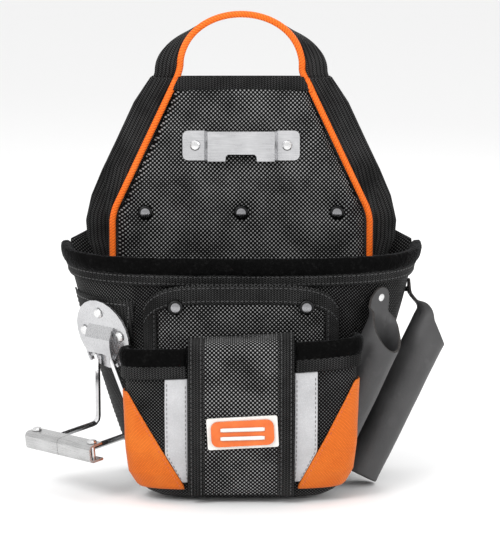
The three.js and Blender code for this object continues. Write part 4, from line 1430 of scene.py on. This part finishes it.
def strap_at(x, v, off):
    """A point on the strap, v of the way up its line and off away from it."""
    k = v * STRAP_STEPS
    i = min(int(k), STRAP_STEPS - 1)
    q = lerp(STRAP[i], STRAP[i + 1], k - i)
    d = STRAP[i + 1] - STRAP[i]
    d /= np.linalg.norm(d)
    out = np.array((0.0, -d[2], d[1]))
    if out[1] > 0.05:
        out = -out
    return np.array((x, q[1], q[2] + front_lift(x, q[2]))) + out * off


def centre_strap():
    """The broad strap over the front pocket, with a tape along each edge."""
    def at(u, v):
        x = lerp(-35.9, 35.9, u)
        wave = 0.35 * ripple((x, 0, v * 110), 20, 2.0)
        return strap_at(x, v, -0.1 + wave * 0.6)
    piece = cloth("centre_strap_web", at, 36, 120, 2.0, FABRIC)
    finish_piece(piece, "pouch", "ballistic_fabric", "centre_strap")
    for side, sign in SIDES.items():
        def band(u, v):
            x = sign * lerp(26.6, 36.2, u if sign > 0 else 1 - u)
            return strap_at(x, v * 0.985, 1.4 + 0.15 * math.sin(math.pi * u))
        tape = cloth(f"strap_tape_{side}", band, 8, 110, 1.3, FINE_WEBBING)
        finish_piece(tape, "pouch", "herringbone_webbing", f"strap_binding_{side}")
        rows = seam_rows(f"strap_tape_{side}", us=(0.14, 0.86))
        sew(f"strap_stitches_{side}", rows, THREAD, "herringbone_webbing", r=0.36)


centre_strap()


# ---- Handle ------------------------------------------------------------------
def handle_path():
    """The handle's line from the left wing over the arch to the right, each point with its arch angle."""
    arch_steps, leg_steps, leg_step = 70, 9, 2.6

    def leg(sign, drop):
        return np.array((sign * HANDLE_HALF_W + sign * 0.34 * drop, 36.2, HANDLE_FOOT_Z - drop))

    stations = [(leg(-1, (leg_steps - k) * leg_step), math.pi) for k in range(leg_steps)]
    for k in range(arch_steps + 1):
        a = math.pi * (1 - k / arch_steps)
        rise = HANDLE_H * math.sin(a) ** 0.85
        stations.append((np.array((HANDLE_HALF_W * math.cos(a), 37.0, HANDLE_FOOT_Z + rise)), a))
    return stations + [(leg(1, (k + 1) * leg_step), 0.0) for k in range(leg_steps)]


def handle():
    """The handle's tape, which turns to lie across the hand at its top, with its seams and its piping."""
    stations = handle_path()
    last = len(stations) - 1

    def at(u, v):
        k = v * last
        i = min(int(k), last - 1)
        f = k - i
        point = lerp(stations[i][0], stations[i + 1][0], f)
        a = lerp(stations[i][1], stations[i + 1][1], f)
        turned = smooth(1.15 * math.sin(a))
        across = np.array((math.cos(a), 0, 0.8 * math.sin(a)))
        across /= np.linalg.norm(across)
        start = point + across * 3.0 * (1 - turned) + np.array((0, 2.0 * turned, 0))
        width = across * 14.0 * (1 - turned) + np.array((0, 21.5 * turned, -3.5 * turned))
        cup = math.sin(math.pi * u) * 0.9
        return start + width * u + across * cup * turned + np.array((0, -cup * (1 - turned), 0))
    web = cloth("handle_tape", at, 14, 170, 2.2, WEBBING, lift=1.1)
    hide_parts("handle_webbing")
    rows = seam_rows("handle_tape", us=(0.12, 0.9), trim=2)
    seams = stitching("handle_stitches", rows, THREAD, r=0.38)
    path = []
    for point, a in stations:
        drop = max(HANDLE_FOOT_Z - point[2], 0)
        sewn = smooth(drop / 8)
        x = math.copysign(lerp(abs(point[0]), face_half(HANDLE_FOOT_Z - drop) + PIPING_STAND, sewn), point[0])
        y = lerp(36.0 - 1.5 * math.sin(a), PIPING_Y, sewn)
        path.append(np.array((x, y, point[2])))
    smooth_path = spline([tuple(q) for q in path[4:-4:3]] + [tuple(path[-5])], 170)
    edge = cord("handle_piping", smooth_path, PIPING_R + 0.1, ORANGE_CORD)
    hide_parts("handle_cord")
    for obj, slot in ((web, "herringbone_webbing"), (seams, "herringbone_webbing"), (edge, "orange_cord")):
        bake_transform(obj)


handle()


# ---- Leather tubes -----------------------------------------------------------
# Each tube's lowest and highest axis point, the way to the wall, its tongue's bend in degrees, how far its
# mouth flares and how far its tongue is pressed to the wall.
TUBES = {
    "front": ((69.5, -38, 46), (102.5, -37.5, 119), (-0.72, 0.69, 0), 10, 0.5, 1.5),
    "rear": ((84, -8, 7), (138, 13, 115), (-1, 0, 0), 29, 1.3, 6.5),
}
TONGUE_START = 4


def tube_axes(bottom, top, wall):
    """A tube's length and its three directions: across, towards the wall, and up its axis."""
    z_dir = top - bottom
    length = np.linalg.norm(z_dir)
    z_dir /= length
    y_dir = wall - z_dir * np.dot(wall, z_dir)
    y_dir /= np.linalg.norm(y_dir)
    return length, np.cross(y_dir, z_dir), y_dir, z_dir


def leather_tube(name, bottom, top, wall, bend_deg, flare, tuck):
    """A tube rolled from one hide. Its tongue turns by bend_deg and is pressed tuck millimetres inwards."""
    bottom, top, wall = (np.array(q, float) for q in (bottom, top, wall))
    length, x_dir, y_dir, z_dir = tube_axes(bottom, top, wall)
    bend = math.radians(bend_deg)
    around, up = 96, 110
    half_tongue = 0.74

    def mouth(a):
        plane = length + math.tan(math.radians(40)) * TUBE_R * math.cos(a)
        if abs(a) > half_tongue:
            return plane
        x = abs(TUBE_R * a) / 10.75
        tongue = length + TONGUE_START + 20.3 * (1 - min(x, 1) ** 2.4) ** 0.5
        return max(plane, tongue)

    def surface(a, h, inward):
        flat = smooth((h - length - 1) / 11) * smooth((1.05 - abs(a)) / 0.3)
        r = TUBE_R - inward
        open_up = flare * smooth((h - length + 26) / 30) * (1 - flat)
        squeeze = 1 - 0.035 * smooth((34 - h) / 34)
        wave = 0.22 * ripple((a * 9, h, 3.0), 17, 2.0 + flare)
        rr = (r + wave) * squeeze
        x, y = (rr + open_up * 0.4) * math.sin(a), rr * math.cos(a) - open_up * 0.9 * max(-math.cos(a), 0)
        fx, fy = TUBE_R * a * 0.985, TUBE_R - 0.2 - inward
        x, y = lerp(x, fx, flat), lerp(y, fy, flat)
        over = h - (length + TONGUE_START)
        if over > -5:
            angle = bend * smooth((over + 5) / 10)
            dy, dz = y - TUBE_R, over
            y = TUBE_R + dy * math.cos(angle) + dz * math.sin(angle)
            h = length + TONGUE_START - dy * math.sin(angle) + dz * math.cos(angle)
            press = tuck * smooth((over + 2) / 14)
            y += press * math.cos(angle)
            h -= press * math.sin(angle)
        return bottom + x_dir * x + y_dir * y + z_dir * h

    verts, faces = [], []
    for inward in (0.0, TUBE_WALL - 0.3):
        for j in range(up + 1):
            for i in range(around):
                a = -math.pi + 2 * math.pi * i / around
                h = lerp(0.4, mouth(a), 1 - (1 - j / up) ** 1.25)
                verts.append(surface(a, h, inward))
    ring = (up + 1) * around
    at = lambda side, j, i: side * ring + j * around + i % around
    for j in range(up):
        for i in range(around):
            faces.append((at(0, j, i), at(0, j + 1, i), at(0, j + 1, i + 1), at(0, j, i + 1)))
            faces.append((at(1, j, i), at(1, j, i + 1), at(1, j + 1, i + 1), at(1, j + 1, i)))
    edge_start = len(faces)
    for row, flip in ((0, False), (up, True)):
        middles = []
        for i in range(around):
            p0, p1 = verts[at(0, row, i)], verts[at(1, row, i)]
            beside = 1 if row == 0 else up - 1
            inner = (verts[at(0, beside, i)] + verts[at(1, beside, i)]) / 2
            mid = (p0 + p1) / 2
            away = mid - inner
            away /= max(np.linalg.norm(away), 1e-9)
            middles.append(len(verts))
            verts.append(mid + away * 0.55)
        for i in range(around):
            m, m2 = middles[i], middles[(i + 1) % around]
            quads = [(at(0, row, i), at(0, row, i + 1), m2, m), (m, m2, at(1, row, i + 1), at(1, row, i))]
            faces += [q[::-1] if flip else q for q in quads]
    piece = make_object(f"leather_tube_{name}", verts, faces, LEATHER)
    piece.data.materials.append(LEATHER_EDGE)
    for polygon in piece.data.polygons[edge_start:]:
        polygon.material_index = 1
    finish_piece(piece, f"{name}_tube", "tube_leather", f"tube_{name}")


for tube_name, spec in TUBES.items():
    leather_tube(tube_name, *spec)


# ---- Hammer patch, rivets and metalwork --------------------------------------
def hammer_patch():
    """The webbing patch under the hammer holder's plate."""
    def at(u, v):
        z = lerp(88.4, 137.6, v)
        phi = lerp(2.976, lerp(2.464, 2.364, v), u)
        return main_point(phi, z, 1.4 + 0.15 * ripple(main_point(phi, z), 12, 5))
    piece = cloth("hammer_patch_cloth", at, 40, 40, 1.2, WEBBING)
    finish_piece(piece, "pouch", "ballistic_fabric", "hammer_patch")
    rows = seam_rows("hammer_patch_cloth", (0.06, 0.94), (0.05, 0.95), trim=2)
    sew("hammer_patch_stitches", rows, GREY_THREAD, "ballistic_fabric", r=0.36)


hammer_patch()


def cap(name, node, place, r, proud):
    """A gunmetal rivet's turned cap, facing the front, with a rolled edge, a low dome and its shank. Its
    outer ring is coloured near black as painted shade.
    """
    profile = [(1.6, -3.0), (1.6, -0.5), (r * 0.55, -0.5), (r * 0.9, -0.4), (r, 0.05), (r, proud * 0.35)]
    for k in range(1, 6):
        a = math.pi / 2 * k / 5
        profile.append((r * (0.80 + 0.20 * math.cos(a)), proud * (0.35 + 0.65 * math.sin(a))))
    profile += [(r * 0.62, proud * 1.1), (r * 0.38, proud * 1.24), (r * 0.14, proud * 1.3)]
    piece = lathe(name, profile, place, (0, -1, 0), GUNMETAL)
    piece.data.materials.append(CAP_SHADE_RING)
    # Faces on the outer ring and behind the cap's face take the near-black painted shade.
    for polygon in piece.data.polygons:
        arm = polygon.center / MM - Vector(place)
        arm.y = 0
        polygon.material_index = int(arm.length > 0.7 * r or polygon.center.y / MM > place[1] + 0.2)
    finish_piece(piece, "pouch", "gunmetal_rivet", node)


CAP_R = 5.3
for k, (x, z) in enumerate(BACK_RIVETS):
    cap(f"back_cap_{k + 1}", f"back_rivet_{k + 1}", (x, 28.4, z), CAP_R, 2.2)
for k in (1, 2):
    low, high = (np.array(corner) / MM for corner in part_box(f"middle_rivet_{k}"))
    middle = (low + high) / 2
    cap(f"middle_cap_{k}", f"middle_rivet_{k}", (middle[0], low[1] + 2.1, middle[2]), CAP_R, 2.0)


def tongue_cap(name):
    """The rivet through a tube's tongue, set as far in as the tongue is pressed."""
    bottom, top, wall = (np.array(q, float) for q in TUBES[name][:3])
    bend_deg, tuck = TUBES[name][3], TUBES[name][5]
    length, _, y_dir, z_dir = tube_axes(bottom, top, wall)
    bend = math.radians(bend_deg)
    into = y_dir * math.cos(bend) - z_dir * math.sin(bend)
    upward = y_dir * math.sin(bend) + z_dir * math.cos(bend)
    hinge = bottom + y_dir * TUBE_R + z_dir * (length + TONGUE_START)
    place = hinge + upward * 13.0 + into * (tuck - 0.25)
    profile = [(1.8, -5.5), (1.8, -0.6), (3.6, -0.2), (4.2, 0.3)]
    profile += [(4.1, 1.0), (3.6, 1.6), (2.6, 2.0), (1.2, 2.2)]
    piece = lathe(f"tongue_cap_{name}", profile, tuple(place), tuple(-into), RIVET_STEEL)
    finish_piece(piece, "pouch", "steel_rivet", f"tube_rivet_{name}")


for tube_name in TUBES:
    tongue_cap(tube_name)


CARRIED = {
    "tape_clip": STEEL,
    "hammer_plate": PLATE_STEEL,
    "hammer_wire": BRIGHT,
    "hammer_channel_left": CHANNEL_STEEL,
    "hammer_channel_right": CHANNEL_STEEL,
    "label_patch": BADGE_WHITE,
    "label_badge": BADGE_ORANGE,
}
CARRIED.update({f"clip_rivet_{k}": RIVET_STEEL for k in (1, 2)})
CARRIED.update({f"hammer_rivet_{k}": RIVET_STEEL for k in (1, 2, 3)})
CARRIED.update({f"hammer_channel_rivet_{side}": RIVET_STEEL for side in SIDES})
for node_name, material in CARRIED.items():
    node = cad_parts[node_name]
    for slot in node.material_slots:
        slot.link = "OBJECT"
        slot.material = material
    bevel = node.modifiers.new("edge", "BEVEL")
    bevel.width = 0.35 * MM
    bevel.segments = 2
    bevel.limit_method = "ANGLE"
    bevel.angle_limit = math.radians(32)


def badge_y(z):
    """The badge's front in y near a height, taken as the foremost corner of its mesh within reach."""
    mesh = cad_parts["label_badge"].data
    return min(v.co.y / MM for v in mesh.vertices if abs(v.co.z / MM - z) < 9)


def badge_bars():
    """Two plain raised bars across the badge."""
    low_z, high_z = 50, 58
    bars = []
    for k, middle_z in enumerate((56.6, 50.4)):
        def at(u, v):
            x = 1.0 + lerp(-15.0, 15.0, u)
            z = middle_z + lerp(-1.0, 1.0, v)
            y = lerp(badge_y(low_z), badge_y(high_z), (z - low_z) / (high_z - low_z))
            return np.array((x, y, z + front_lift(x, z)))
        bars.append(cloth(f"badge_bar_{k + 1}", at, 20, 3, 0.9, BADGE_WHITE, lift=0.35))
    finish_piece(join_meshes("badge_bars", bars), "pouch", "badge")


badge_bars()


# ---- Camera, lights and floor ------------------------------------------------
def look_at(obj, target):
    obj.rotation_euler = (Vector(target) - obj.location).to_track_quat("-Z", "Y").to_euler()


CAMERA_TARGET = (0.0, 0.0, 0.170)
CAMERA_DISTANCE = 2.6
CAMERA_ELEVATION = math.radians(10)
camera_data = bpy.data.cameras.new("camera")
camera = bpy.data.objects.new("camera", camera_data)
bpy.context.scene.collection.objects.link(camera)
camera.location = (
    CAMERA_TARGET[0],
    CAMERA_TARGET[1] - CAMERA_DISTANCE * math.cos(CAMERA_ELEVATION),
    CAMERA_TARGET[2] + CAMERA_DISTANCE * math.sin(CAMERA_ELEVATION),
)
look_at(camera, CAMERA_TARGET)
camera_data.lens = 237
camera_data.sensor_width = 36
camera_data.shift_x = 0.016
camera_data.shift_y = -0.0523
camera_data.clip_start = 0.05
bpy.context.scene.camera = camera


def area_light(name, place, target, size, power):
    data = bpy.data.lights.new(name, "AREA")
    data.shape = "RECTANGLE"
    data.size, data.size_y = size
    data.energy = power
    light = bpy.data.objects.new(name, data)
    bpy.context.scene.collection.objects.link(light)
    light.location = place
    look_at(light, target)


area_light("key", (-0.75, -1.15, 1.15), (0, 0, 0.14), (0.6, 0.6), 15)
area_light("fill", (1.15, -0.9, 0.55), (0, 0, 0.15), (0.5, 0.7), 5)
area_light("rim", (0.5, 0.9, 0.95), (0, 0, 0.18), (0.9, 0.5), 5)
area_light("top", (0.0, -0.1, 1.3), (0, 0, 0.1), (0.9, 0.9), 2)

world = bpy.data.worlds.new("studio")
world.use_nodes = True
world.node_tree.nodes["Background"].inputs[0].default_value = (1.0, 1.0, 1.0, 1)
world.node_tree.nodes["Background"].inputs[1].default_value = 1.0
bpy.context.scene.world = world
bpy.context.scene.view_settings.view_transform = "Standard"

floor_look = Look("pale_floor", Roughness=0.9, Specular_IOR_Level=0.1)
floor_look.shader.inputs["Base Color"].default_value = (0.88, 0.88, 0.88, 1)
bpy.ops.mesh.primitive_plane_add(size=12, location=(0, 0, -0.0006))
floor = bpy.context.object
floor.name = "floor"
floor.data.materials.append(floor_look.material)
